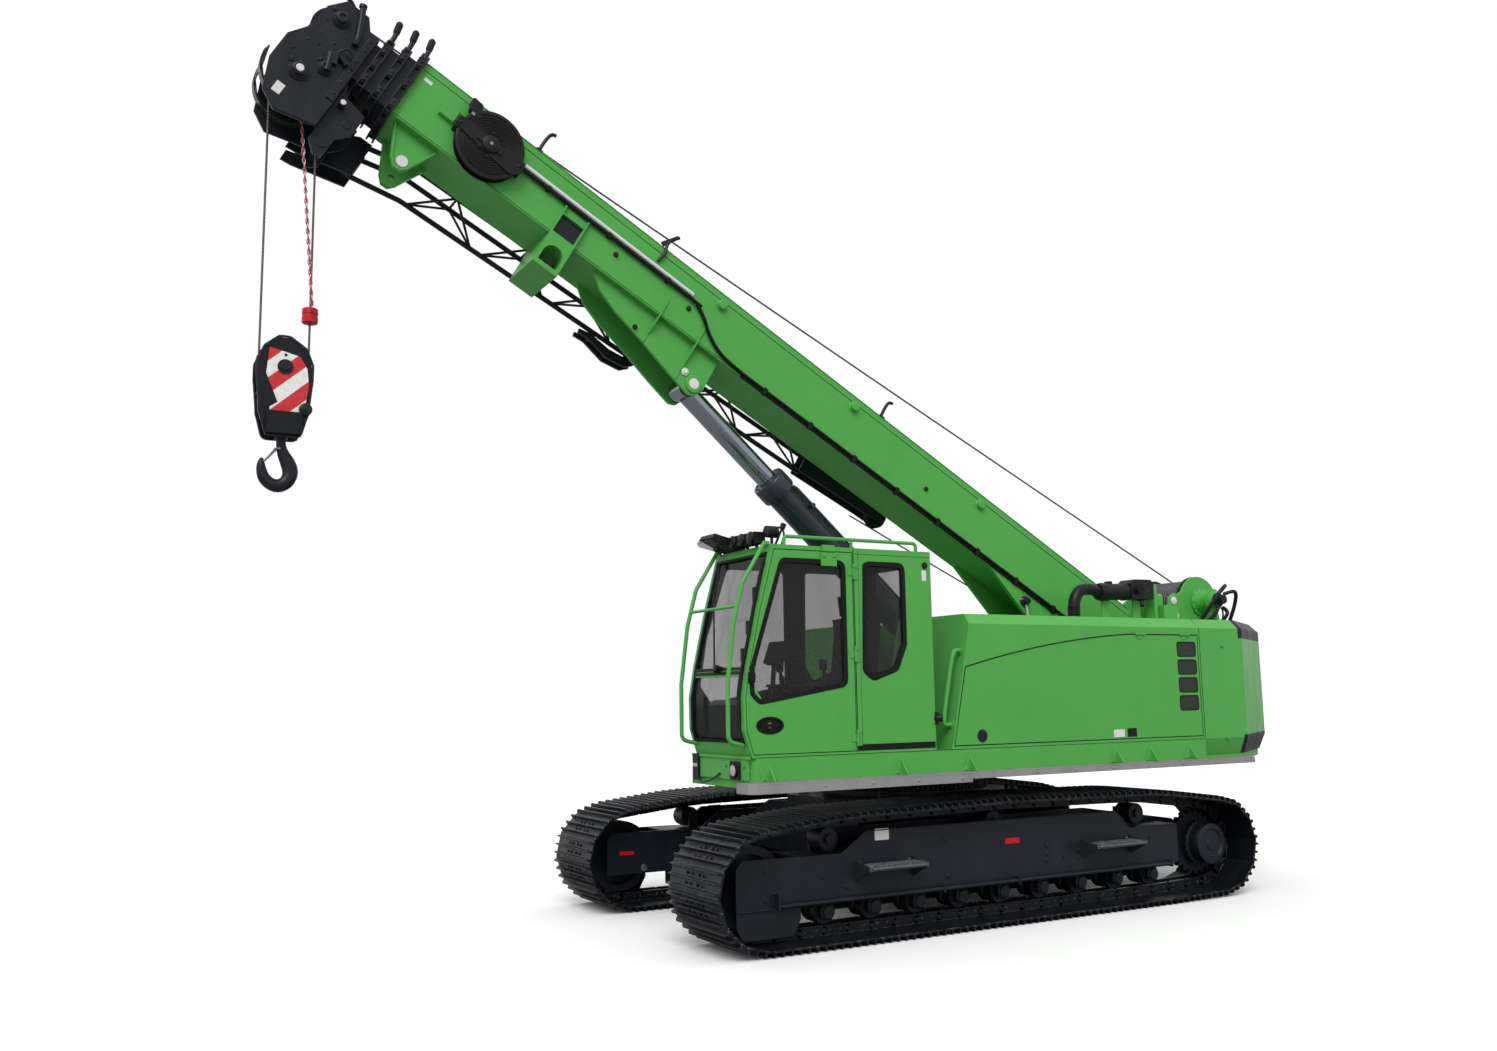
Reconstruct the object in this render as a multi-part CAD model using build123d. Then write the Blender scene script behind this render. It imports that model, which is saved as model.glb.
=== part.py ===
from build123d import *
import math
import os

# Crawler crane with a telescopic boom. Millimetres, +X forward, +Y left, +Z up.
# The origin is on the ground under the slewing axis.

# clearances
RUN_GAP = 0.05
SEAT_GAP = 0.3
PANEL_GAP = 6

# tracks
TRACK_Y = 1140
SHOE_WIDTH = 790
SHOE_COUNT = 56
GROUSER_HEIGHT = 24
GROUSER_BASE = 26
PLATE_THICK = 16
CHAIN_HEIGHT = 88
CHAIN_WIDTH = 190
CHORD_SAG = 13
ROLLER_PLAY = 6
IDLER_X = 2318
IDLER_Z = 442
IDLER_WRAP = 440
SPROCKET_X = -2345
SPROCKET_Z = 442
SPROCKET_WRAP = 424
# place along the track and height of the run over each carrier roller
CARRIERS = [(1625, 958), (25, 986), (-1575, 962)]
CARRIER_RADIUS = 85
ROLLER_COUNT = 9
ROLLER_PITCH = 420
ROLLER_RADIUS = 92
ROLLER_WIDTH = 180
AXLE_RADIUS = 38
TOOTH_COUNT = 23

# track frames
FRAME_OUTER = 1340
FRAME_INNER = 940
FRAME_PLATE = 20
FRAME_BOTTOM = 295
BEAM_BOTTOM = 335
BEAM_TOP = 640
BEAM_FRONT = 1930
BEAM_REAR = -1960
FRAME_HIGH = 790
FRAME_FRONT = 2480
SHIELD_BOTTOM = 95
GUARD_TUBE = 16
STEP_REACH = 190
STEP_Z = 520

# carbody and slewing ring
BODY_BOTTOM = 470
BODY_TOP = 950
BODY_LENGTH = 2100
BODY_HALF = 690
ARM_X = 860
ARM_WIDTH = 440
ARM_TOP = 790
RING_RADIUS = 700
RING_BORE = 520
RING_GAP = 0.3

# upper deck
DECK_BOTTOM = 1140
DECK_TOP = 1360
DECK_HALF = 1320
DECK_FRONT = 2335
DECK_REAR = -2400
DECK_SKIN = 30
DECK_SILL = 150
CHANNEL_FRONT = 250
TURRET_IN = 300
TURRET_THICK = 36
RAIL_OUT = 1530

# cab
CAB_IN = 450
CAB_REAR = 655
CAB_WALL = 40
DOOR_REAR = 1412
DOOR_THICK = 26
DOOR_LIP = 60
DOOR_AXIS_X = DOOR_REAR - 7
DOOR_AXIS_Y = DECK_HALF + 12
DOOR_HINGES = (1480, 2110, 2740)
DOOR_PIN = 5
DOOR_KNUCKLE = 10
GLASS = 6

# hoods
HOOD_TOP = 2445
HOOD_BEVEL = 85
HOOD_WALL = 22
HOOD_LEAN_TOP = 265
HOOD_LEAN_BOTTOM = 500
HOOD_IN = 345
FLAP_TOP = 2292
FLAP_BOTTOM = 1390
FLAP_REAR = -2374
FLAP_HINGE_Y = DECK_HALF + 10
FLAP_HINGE_Z = 2295
FLAP_HINGES = (-2200, -1640)
HINGE_PIN = 4
HINGE_KNUCKLE = 9

# counterweight
WEIGHT_CREASE = -2975
WEIGHT_CORNER = -3870
WEIGHT_REAR = -3945
WEIGHT_BOTTOM = 1215
WEIGHT_NOTCH = -3090
CORNER_HALF = 800

# boom, in its own frame: u along the boom and v square to it, both from the foot pin
FOOT_X = -1895
FOOT_Z = 1850
FOOT_PIN = 55
BOOM_ANGLE = 29.5
BASE_HALF = 250
BASE_LOW = 500
BASE_HIGH = 1033
BASE_REAR = -310
BASE_FRONT = 7908
BASE_WALL = 10
SECTION_WALL = 8
SECTION_INSET = 30
COLLAR_LENGTH = 62
COLLAR_GAP = 66
COLLAR_FLANGE = 12
EYE_U = 4808
EYE_V = 200
CHEEK_IN = 165
CHEEK_THICK = 30
SADDLE_U = 6238

# lift cylinder
BARREL_X = -1338
BARREL_Z = 1270
LIFT_ANGLE = 41.5
LIFT_LENGTH = 4711
BARREL_LENGTH = 3620
BARREL_RADIUS = 130
ROD_RADIUS = 90
ROD_LENGTH = 2250
BARREL_PIN = 60
BARREL_EYE = 136

# head and hoist
HEAD_HALF = 190
HEAD_PLATE = 22
LOWER_U = 8578
LOWER_V = 345
UPPER_U = 8560
UPPER_V = 900
SHEAVE_PITCH = 170
SHEAVE_RIM = 190
SHEAVE_WIDTH = 60
BOSS_RADIUS = 60
GUARD_RADIUS = 262
GUARD_IN = 112
ROPE_RADIUS = 8
WINCH_X = -3595
WINCH_Z = 2700
DRUM_RADIUS = 200
FLANGE_RADIUS = 262
DRUM_HALF = 250
BLOCK_Z = 4185
BLOCK_CHEEK_IN = 60
HOOK_SHANK = 34
HOOK_Z = 3447
HOOK_BOWL = 143
HOOK_THROAT = 58


def block(x0, x1, y0, y1, z0, z1):
    return Pos((x0 + x1) / 2, (y0 + y1) / 2, (z0 + z1) / 2) * Box(abs(x1 - x0), abs(y1 - y0), abs(z1 - z0))


def outline_face(outline, inward=0, corner=0):
    face = make_face(Polyline(*outline, close=True))
    if inward:
        face = offset(face, amount=-inward, kind=Kind.INTERSECTION)
    if corner:
        face = fillet(face.vertices(), corner)
    return face


def slab_xz(outline, y0, y1, inward=0, corner=0):
    return extrude(Plane.XZ.offset(-y1) * outline_face(outline, inward, corner), amount=y1 - y0)


def slab_yz(outline, x0, x1, inward=0, corner=0):
    return extrude(Plane.YZ.offset(x0) * outline_face(outline, inward, corner), amount=x1 - x0)


def slab_xy(outline, z0, z1, inward=0, corner=0):
    return extrude(Plane.XY.offset(z0) * outline_face(outline, inward, corner), amount=z1 - z0)


def rod(start, end, radius):
    axis = Vector(*end) - Vector(*start)
    seat = Plane(origin=start, z_dir=axis)
    return seat * Cylinder(radius, axis.length, align=(Align.CENTER, Align.CENTER, Align.MIN))


def cross_rod(x, z, y0, y1, radius):
    return rod((x, y0, z), (x, y1, z), radius)


def bent_tube(points, bends, radius):
    path = FilletPolyline(*points, radius=bends)
    start = Plane(origin=points[0], z_dir=Vector(*points[1]) - Vector(*points[0]))
    return sweep(start * Circle(radius), path=path)


def turned(x, y, z, section):
    # section: radius, distance along Y
    face = make_face(Polyline(*section, close=True))
    return Pos(x, y, z) * revolve(face, axis=Axis.Y)


def mirrored(shape):
    return mirror(shape, about=Plane.XZ)


def both_sides(shape):
    return shape + mirrored(shape)


def boom_place(shape):
    return Location((FOOT_X, 0, FOOT_Z), (0, -BOOM_ANGLE, 0)) * shape


def lift_place(shape):
    return Location((BARREL_X, 0, BARREL_Z), (0, -LIFT_ANGLE, 0)) * shape


def boom_point(u, v):
    c = math.cos(math.radians(BOOM_ANGLE))
    s = math.sin(math.radians(BOOM_ANGLE))
    return FOOT_X + c * u - s * v, FOOT_Z + s * u + c * v


def save(name, shape):
    export_step(shape, "parts/" + name + ".step")
    print(name, round(shape.volume / 1e9, 4), len(shape.solids()))


# track path: the shoes' outer plate line round the idler, carriers, sprocket and end rollers
LINK_DEPTH = GROUSER_HEIGHT + PLATE_THICK + CHAIN_HEIGHT
ROLLER_END = ROLLER_PITCH * (ROLLER_COUNT - 1) / 2


def track_wheels():
    wheels = [(IDLER_X, IDLER_Z, IDLER_WRAP)]
    for x, run in CARRIERS:
        wheels.append((x, run - CARRIER_RADIUS - LINK_DEPTH, CARRIER_RADIUS + LINK_DEPTH))
    wheels.append((SPROCKET_X, SPROCKET_Z, SPROCKET_WRAP))
    for x in (-ROLLER_END, ROLLER_END):
        wheels.append((x, ROLLER_RADIUS + LINK_DEPTH, ROLLER_RADIUS + LINK_DEPTH))
    return wheels


def track_path(inset):
    # spans of the loop: start, end or centre, radius, start angle, end angle
    wheels = [(x, z, r - inset) for x, z, r in track_wheels()]
    normals = []
    for k, (x, z, r) in enumerate(wheels):
        nx, nz, nr = wheels[(k + 1) % len(wheels)]
        reach = math.hypot(nx - x, nz - z)
        normals.append(math.atan2(nz - z, nx - x) - math.acos((r - nr) / reach))
    spans = []
    for k, (x, z, r) in enumerate(wheels):
        start, end = normals[k - 1], normals[k]
        while end < start:
            end += 2 * math.pi
        spans.append(("arc", x, z, r, start, end, r * (end - start)))
        nx, nz, nr = wheels[(k + 1) % len(wheels)]
        p = (x + r * math.cos(end), z + r * math.sin(end))
        q = (nx + nr * math.cos(end), nz + nr * math.sin(end))
        spans.append(("line", p, q, end, math.hypot(q[0] - p[0], q[1] - p[1])))
    return spans


def track_at(spans, s, out):
    total = sum(span[-1] for span in spans)
    s = s % total
    for span in spans:
        if s > span[-1]:
            s -= span[-1]
            continue
        share = s / span[-1]
        if span[0] == "arc":
            angle = span[4] + (span[5] - span[4]) * share
            x, z = span[1] + span[3] * math.cos(angle), span[2] + span[3] * math.sin(angle)
        else:
            angle = span[3]
            x, z = (a + (b - a) * share for a, b in zip(span[1], span[2]))
        return x + out * math.cos(angle), z + out * math.sin(angle)
    return track_at(spans, 0, out)


def track():
    plate_line = track_path(GROUSER_HEIGHT)
    total = sum(span[-1] for span in plate_line)
    pitch = total / SHOE_COUNT
    outer, inner, chain = [], [], []
    for shoe in range(SHOE_COUNT):
        for ridge in range(3):
            s = (shoe + (ridge + 0.5) / 3) * pitch
            outer.append(track_at(plate_line, s - GROUSER_BASE / 2, 0))
            outer.append(track_at(plate_line, s, GROUSER_HEIGHT))
            outer.append(track_at(plate_line, s + GROUSER_BASE / 2, 0))
        inner.append(track_at(plate_line, shoe * pitch, -PLATE_THICK))
        chain.append(track_at(plate_line, shoe * pitch, -PLATE_THICK - CHAIN_HEIGHT))
    half = SHOE_WIDTH / 2
    shoes = slab_xz(outer, TRACK_Y - half, TRACK_Y + half) - slab_xz(inner, TRACK_Y - half, TRACK_Y + half)
    half = CHAIN_WIDTH / 2
    links = slab_xz(inner, TRACK_Y - half, TRACK_Y + half) - slab_xz(chain, TRACK_Y - half, TRACK_Y + half)
    return shoes + links


# each link spans a chord of the wrap, so the wheels stay inside it
IDLER_RIM = IDLER_WRAP - LINK_DEPTH - CHORD_SAG
SPROCKET_TIP = SPROCKET_WRAP - LINK_DEPTH - CHORD_SAG


def idler():
    rim = IDLER_RIM
    section = [(60, -85), (130, -85), (130, -30), (rim - 60, -30), (rim - 60, -88), (rim, -88),
               (rim, 88), (rim - 60, 88), (rim - 60, 30), (130, 30), (130, 85), (60, 85)]
    hub = TRACK_Y - FRAME_INNER - FRAME_PLATE
    axle = cross_rod(IDLER_X, IDLER_Z, TRACK_Y - hub, TRACK_Y + hub, 60)
    return turned(IDLER_X, TRACK_Y, IDLER_Z, section) + axle


def sprocket():
    points = []
    for k in range(TOOTH_COUNT):
        for share, radius in ((0.12, 1.0), (0.38, 1.0), (0.55, 0.9), (0.95, 0.9)):
            angle = 2 * math.pi * (k + share) / TOOTH_COUNT
            points.append((SPROCKET_X + SPROCKET_TIP * radius * math.cos(angle),
                           SPROCKET_Z + SPROCKET_TIP * radius * math.sin(angle)))
    wheel = slab_xz(points, TRACK_Y - 30, TRACK_Y + 30)
    hub = turned(SPROCKET_X, 0, SPROCKET_Z, [(0, FRAME_INNER + FRAME_PLATE), (185, FRAME_INNER + FRAME_PLATE),
                 (185, 1235), (165, 1245), (165, 1330), (140, 1350), (0, 1350)])
    for k in range(12):
        angle = math.radians(30 * k)
        x, z = SPROCKET_X + 150 * math.cos(angle), SPROCKET_Z + 150 * math.sin(angle)
        hub += cross_rod(x, z, 1335, 1362, 9)
    return wheel + hub


def track_rollers():
    z = LINK_DEPTH + ROLLER_PLAY + ROLLER_RADIUS
    half = ROLLER_WIDTH / 2
    out = Part()
    for k in range(ROLLER_COUNT):
        x = ROLLER_END - k * ROLLER_PITCH
        out += turned(x, TRACK_Y, z, [(0, -half - 40), (AXLE_RADIUS, -half - 40), (AXLE_RADIUS, -half),
                      (ROLLER_RADIUS, -half), (ROLLER_RADIUS, -30), (ROLLER_RADIUS - 14, -22),
                      (ROLLER_RADIUS - 14, 22), (ROLLER_RADIUS, 30), (ROLLER_RADIUS, half),
                      (AXLE_RADIUS, half), (AXLE_RADIUS, half + 40), (0, half + 40)])
        for side in (-1, 1):
            y = TRACK_Y + side * (half + 25)
            out += block(x - 48, x + 48, y - 15, y + 15, z - 45, BEAM_BOTTOM)
    return both_sides(out)


def carrier_rollers():
    out = Part()
    for x, run in CARRIERS:
        z = run - LINK_DEPTH - CARRIER_RADIUS - ROLLER_PLAY
        out += cross_rod(x, z, TRACK_Y - 85, TRACK_Y + 85, CARRIER_RADIUS)
        out += cross_rod(x, z, TRACK_Y - 150, TRACK_Y + 110, 35)
        out += block(x - 40, x + 40, TRACK_Y - 150, TRACK_Y - 110, BEAM_TOP, z + 45)
    return both_sides(out)


def track_frame():
    beam = block(BEAM_REAR, BEAM_FRONT, FRAME_INNER + FRAME_PLATE, FRAME_OUTER - FRAME_PLATE, BEAM_BOTTOM, BEAM_TOP)
    # side plate: x, z
    side = [(FRAME_FRONT, FRAME_BOTTOM), (FRAME_FRONT, 590), (2430, BEAM_TOP + 10), (1583, BEAM_TOP), (1365, FRAME_HIGH),
            (-1217, FRAME_HIGH), (-1373, BEAM_TOP), (-1940, BEAM_TOP - 20), (-1940, FRAME_BOTTOM + 30),
            (-1850, FRAME_BOTTOM)]
    shield = [(1945, FRAME_BOTTOM + 5), (1945, 210), (2010, SHIELD_BOTTOM), (2420, SHIELD_BOTTOM),
              (FRAME_FRONT - 5, 180), (FRAME_FRONT - 5, FRAME_BOTTOM + 5)]
    out = beam
    out += slab_xz(side, FRAME_OUTER - FRAME_PLATE, FRAME_OUTER)
    out += slab_xz(shield, FRAME_OUTER - FRAME_PLATE, FRAME_OUTER - 6)
    inner_side = [(x, z) for x, z in side[:6]] + [(SPROCKET_X + 60, BEAM_TOP), (SPROCKET_X - 120, 560),
                                                  (SPROCKET_X - 120, 320), (SPROCKET_X + 60, FRAME_BOTTOM)]
    out += slab_xz(inner_side, FRAME_INNER, FRAME_INNER + FRAME_PLATE)
    ledge = FRAME_OUTER + 45
    out += rod((-1795, ledge, 318), (2165, ledge, 318), GUARD_TUBE)
    # tube brackets: x, top
    for x, top in ((2165, 405), (685, 345), (-68, 345), (-1795, 345)):
        out += block(x - 8, x + 8, FRAME_OUTER, ledge + 22, 292, top)
    return out


def frame_steps():
    out = Part()
    for x0, x1 in ((930, 1470), (-1370, -800)):
        tread = block(x0, x1, FRAME_OUTER + 30, FRAME_OUTER + STEP_REACH, STEP_Z, STEP_Z + 30)
        tread -= block(x0 + 120, x1 - 60, FRAME_OUTER + 60, FRAME_OUTER + STEP_REACH - 45, STEP_Z - 5, STEP_Z + 35)
        for x in (x0, x1 - 16):
            tread += slab_yz([(FRAME_OUTER, STEP_Z - 90), (FRAME_OUTER + STEP_REACH, STEP_Z),
                              (FRAME_OUTER + STEP_REACH, STEP_Z + 30), (FRAME_OUTER, STEP_Z + 60)], x, x + 16)
        out += tread
    return both_sides(out)


def carbody():
    half = BODY_LENGTH / 2
    body = slab_xy([(half, 300), (700, BODY_HALF), (-700, BODY_HALF), (-half, 300), (-half, -300),
                    (-700, -BODY_HALF), (700, -BODY_HALF), (half, -300)], BODY_BOTTOM, BODY_TOP)
    for x in (-ARM_X, ARM_X):
        arm = slab_yz([(0, BODY_BOTTOM), (FRAME_INNER, BODY_BOTTOM), (FRAME_INNER, ARM_TOP - 60),
                       (BODY_HALF - 120, BODY_TOP - 60), (0, BODY_TOP - 60)], x - ARM_WIDTH / 2, x + ARM_WIDTH / 2)
        body += both_sides(arm)
    for x in (-680, 680):
        eye = block(x - 45, x + 45, -12, 12, BODY_TOP - 20, BODY_TOP + 60) - cross_rod(x, BODY_TOP + 22, -20, 20, 22)
        body += Pos(0, 620, 0) * eye + Pos(0, -620, 0) * eye
    return body


def slew_ring():
    top = DECK_BOTTOM - RING_GAP
    face = make_face(Polyline((RING_BORE, BODY_TOP), (RING_RADIUS + 40, BODY_TOP), (RING_RADIUS + 40, BODY_TOP + 40),
                              (RING_RADIUS - 30, BODY_TOP + 40), (RING_RADIUS - 30, BODY_TOP + 110),
                              (RING_RADIUS, BODY_TOP + 110), (RING_RADIUS, top), (RING_BORE, top), close=True))
    return revolve(Plane.XZ * face, axis=Axis.Z)


def deck():
    edge = DECK_HALF
    base = slab_xy([(DECK_REAR, -edge), (DECK_FRONT - 60, -edge), (DECK_FRONT, -edge + 60), (DECK_FRONT, edge - 60),
                    (DECK_FRONT - 60, edge), (DECK_REAR, edge)], DECK_BOTTOM, DECK_TOP)
    base -= block(DECK_REAR - 10, CHANNEL_FRONT, -TURRET_IN, TURRET_IN, DECK_BOTTOM - 10, DECK_TOP + 10)
    turret_out = TURRET_IN + TURRET_THICK
    # pockets under the skin between the sills and cross beams: rear end, front end, inner edge
    for x0, x1, y0 in ((-2300, -1500, turret_out), (-1420, -820, turret_out), (820, 1500, 60), (1580, 2240, 60)):
        pocket = block(x0, x1, y0, edge - DECK_SILL, DECK_BOTTOM - 10, DECK_TOP - DECK_SKIN)
        base -= pocket
        base -= mirrored(pocket)
    plate = [(DECK_REAR, DECK_BOTTOM), (CHANNEL_FRONT, DECK_BOTTOM), (CHANNEL_FRONT, DECK_TOP + 60),
             (-900, 1520), (FOOT_X + 190, FOOT_Z + 60), (FOOT_X + 100, FOOT_Z + 150), (FOOT_X - 100, FOOT_Z + 150),
             (FOOT_X - 190, FOOT_Z + 60), (DECK_REAR, DECK_TOP + 40)]
    side = slab_xz(plate, TURRET_IN, turret_out)
    side += cross_rod(FOOT_X, FOOT_Z, TURRET_IN, turret_out + 8, 130)
    side += cross_rod(BARREL_X, BARREL_Z, BARREL_EYE + SEAT_GAP, TURRET_IN, 100)
    base += both_sides(side)
    base += cross_rod(FOOT_X, FOOT_Z, -turret_out - 8, turret_out + 8, FOOT_PIN)
    base += cross_rod(BARREL_X, BARREL_Z, -TURRET_IN, TURRET_IN, BARREL_PIN)
    return base


def catwalks():
    out = Part()
    # x rear, x front, outer edge, bottom, top
    for x0, x1, y1, z0, z1 in ((475, 2455, RAIL_OUT, 1080, 1160), (-2875, 470, 1460, 1095, 1150)):
        rail = slab_xy([(x0, 1290), (x1, 1290), (x1, y1 - 50), (x1 - 50, y1), (x0, y1)], z0, z1)
        rail -= block(x0 + 30, x1 - 80, 1300, y1 - 12, z0 - 5, z1 - 8)
        out += rail
    for x in (2290, 1139, 517, -1092, -1516, -1959):
        out += slab_xz([(x - 60, 1150), (x + 60, 1150), (x + 12, 1255), (x - 12, 1255)], DECK_HALF, DECK_HALF + 14)
    out -= block(DECK_REAR, DECK_FRONT, 0, DECK_HALF, DECK_BOTTOM, DECK_TOP)
    return both_sides(out)


# left profile of the cab: x, z
CAB_PROFILE = [(CAB_REAR, DECK_TOP), (2320, DECK_TOP), (2385, 1560), (2388, 1800), (2346, 2043),
               (2256, 2434), (2125, 2925), (CAB_REAR, 2925)]
DOOR_OUTLINE = [(DOOR_REAR, 1385), (2305, 1385), (2358, 1560), (2362, 1800), (2322, 2043), (2232, 2434),
                (2105, 2885), (DOOR_REAR, 2885)]
DOOR_WINDOW = [(1500, 1885), (2205, 1745), (2305, 1885), (2245, 2250), (2050, 2825), (1500, 2825)]
REAR_WINDOW = [(920, 2040), (1250, 1910), (1330, 2040), (1315, 2820), (920, 2820)]
SCREEN_LOW = [(2250, 1480), (2450, 1480), (2450, 1950), (2250, 1950)]
SCREEN_HIGH = [(2050, 2010), (2450, 2010), (2450, 2850), (2050, 2850)]


def upright_rod(z0, z1, radius):
    return rod((DOOR_AXIS_X, DOOR_AXIS_Y, z0), (DOOR_AXIS_X, DOOR_AXIS_Y, z1), radius)


def cab_shell():
    shell = slab_xz(CAB_PROFILE, CAB_IN, DECK_HALF)
    shell -= slab_xz(CAB_PROFILE, CAB_IN + CAB_WALL, DECK_HALF - CAB_WALL, inward=CAB_WALL)
    shell -= slab_xz(DOOR_OUTLINE, DECK_HALF - DOOR_THICK - SEAT_GAP, DECK_HALF + 10, inward=-PANEL_GAP)
    shell -= slab_xz(DOOR_OUTLINE, DECK_HALF - 100, DECK_HALF + 10, inward=DOOR_LIP)
    shell -= slab_xz(REAR_WINDOW, DECK_HALF - 100, DECK_HALF + 10, corner=40)
    shell -= slab_xz(REAR_WINDOW, CAB_IN - 10, CAB_IN + 100, corner=40)
    shell -= slab_xz(DOOR_WINDOW, CAB_IN - 10, CAB_IN + 100, corner=40)
    shell -= block(CAB_REAR - 10, CAB_REAR + 100, CAB_IN + 120, DECK_HALF - 120, 1950, 2820)
    shell -= block(1100, 1900, CAB_IN + 150, DECK_HALF - 150, 2800, 3000)
    for outline in (SCREEN_LOW, SCREEN_HIGH):
        shell -= slab_xz(outline, CAB_IN + 55, DECK_HALF - 55) & slab_xz(CAB_PROFILE, CAB_IN, DECK_HALF)
    for z in DOOR_HINGES:
        shell += upright_rod(z - 60, z + 60, DOOR_PIN)
        shell += upright_rod(z - 60, z - 31, DOOR_KNUCKLE) + upright_rod(z + 31, z + 60, DOOR_KNUCKLE)
        for z0 in (z - 60, z + 31):
            shell += block(DOOR_AXIS_X - 45, DOOR_AXIS_X, DECK_HALF - 1, DECK_HALF + 5, z0, z0 + 29)
    return shell


def pane_between(depth, outline, y0, y1):
    strip = slab_xz(CAB_PROFILE, y0, y1, inward=depth) - slab_xz(CAB_PROFILE, y0, y1, inward=depth + GLASS)
    return strip & slab_xz(outline, y0, y1)


def cab_windows():
    mid = CAB_WALL / 2
    panes = slab_xz(REAR_WINDOW, DECK_HALF - mid - GLASS, DECK_HALF - mid, corner=40)
    panes += slab_xz(REAR_WINDOW, CAB_IN + mid, CAB_IN + mid + GLASS, corner=40)
    panes += slab_xz(DOOR_WINDOW, CAB_IN + mid, CAB_IN + mid + GLASS, corner=40)
    panes += block(CAB_REAR + mid, CAB_REAR + mid + GLASS, CAB_IN + 120, DECK_HALF - 120, 1950, 2820)
    panes += block(1100, 1900, CAB_IN + 150, DECK_HALF - 150, 2925 - mid - GLASS, 2925 - mid)
    for outline in (SCREEN_LOW, SCREEN_HIGH):
        panes += pane_between(mid - 8, outline, CAB_IN + 55, DECK_HALF - 55)
    return panes


def cab_door():
    face_in = DECK_HALF - DOOR_THICK
    door = slab_xz(DOOR_OUTLINE, face_in, DECK_HALF)
    door -= slab_xz(DOOR_WINDOW, face_in - 10, DECK_HALF + 10, corner=40)
    handle = Pos(2168, DECK_HALF, 1590) * extrude(Plane.XZ * Ellipse(115, 62), amount=8, both=True)
    door = door - handle
    door += cross_rod(2168, 1590, DECK_HALF - 12, DECK_HALF - 2, 20)
    for z in DOOR_HINGES:
        door += upright_rod(z - 30, z + 30, DOOR_KNUCKLE)
        door += block(DOOR_AXIS_X + 8, DOOR_AXIS_X + 50, DECK_HALF - 1, DECK_HALF + 5, z - 30, z + 30)
        door += block(DOOR_AXIS_X, DOOR_AXIS_X + 10, DECK_HALF + 2, DECK_HALF + 5, z - 30, z + 30)
        door -= upright_rod(z - 70, z + 70, DOOR_PIN + RUN_GAP)
    return door


def door_glass():
    return slab_xz(DOOR_WINDOW, DECK_HALF - 18, DECK_HALF - 18 + GLASS, corner=40)


def cab_interior():
    floor = DECK_TOP + CAB_WALL
    mid = (CAB_IN + DECK_HALF) / 2
    seat = block(1180, 1420, mid - 200, mid + 200, floor, 1640)
    seat += block(1100, 1620, mid - 250, mid + 250, 1640, 1780)
    seat += slab_xz([(1080, 1780), (1210, 1780), (1130, 2420), (1010, 2420)], mid - 240, mid + 240)
    seat += slab_xz([(1020, 2420), (1110, 2420), (1090, 2600), (1010, 2600)], mid - 130, mid + 130)
    for side in (-1, 1):
        y = mid + side * 320
        seat += block(1150, 1700, y - 60, y + 60, 1700, 1880)
        seat += block(1250, 1350, y - 40, y + 40, floor, 1700)
        seat += rod((1600, y, 1880), (1620, y, 2010), 14)
        seat += Pos(1622, y, 2030) * Cylinder(30, 70)
    seat += block(2050, 2110, mid + 230, mid + 290, floor, floor + 12)
    seat += rod((2080, mid + 260, floor + 6), (2020, mid + 260, 2050), 18)
    seat += Pos(2000, mid + 260, 2120) * Rot(0, -20, 0) * Box(50, 220, 170)
    seat += block(2050, 2150, mid - 120, mid - 40, floor, floor + 90)
    seat += block(2050, 2150, mid + 40, mid + 120, floor, floor + 90)
    return seat


def cab_guard():
    # outward path of a front guard tube: x, z
    path = [(2150, 2945), (2345, 2640), (2425, 2350), (2482, 1900), (2482, 1480), (2360, 1450)]
    out = Part()
    for y in (CAB_IN + 60, DECK_HALF - 60):
        points = [(x, y, z) for x, z in path]
        out += bent_tube(points, 60, 16)
    out += rod((2395, CAB_IN + 60, 2460), (2395, DECK_HALF - 60, 2460), 12)
    out += block(2120, 2160, CAB_IN + 40, CAB_IN + 80, 2925, 2950)
    out += block(2120, 2160, DECK_HALF - 80, DECK_HALF - 40, 2925, 2950)
    rail = bent_tube([(2010, 1300, 2925), (2010, 1300, 2990), (780, 1300, 2990), (780, 1300, 2925)], 30, 14)
    out += rail + rod((1400, 1300, 2925), (1400, 1300, 2985), 12)
    return out


def work_lamps():
    out = slab_xz([(2030, 2925), (2100, 2925), (2330, 3030), (2310, 3060), (2060, 3000)], CAB_IN + 90, CAB_IN + 320)
    for y in (820, 960, 1100):
        lamp = Pos(2130, y, 2990) * Box(90, 110, 90)
        out += lamp + rod((2130, y, 2925), (2130, y, 2960), 15)
    out += rod((2060, 1210, 2925), (2060, 1210, 3010), 12)
    out += rod((2020, 1210, 3030), (2110, 1210, 3030), 45)
    return out


FLAP_FRONT_LOW = 470


def flap_face(grow):
    lower = Polyline((335, 2010), (FLAP_FRONT_LOW, FLAP_BOTTOM), (FLAP_REAR, FLAP_BOTTOM), (FLAP_REAR, FLAP_TOP),
                     (-1500, FLAP_TOP))
    arc = ThreePointArc((-1500, FLAP_TOP), (-560, 2192), (335, 2010))
    face = make_face(lower + arc)
    if grow:
        face = offset(face, amount=grow, kind=Kind.INTERSECTION)
    return face


def flap_slab(y0, y1, grow=0):
    return extrude(Plane.XZ.offset(-y1) * flap_face(grow), amount=y1 - y0)


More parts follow.
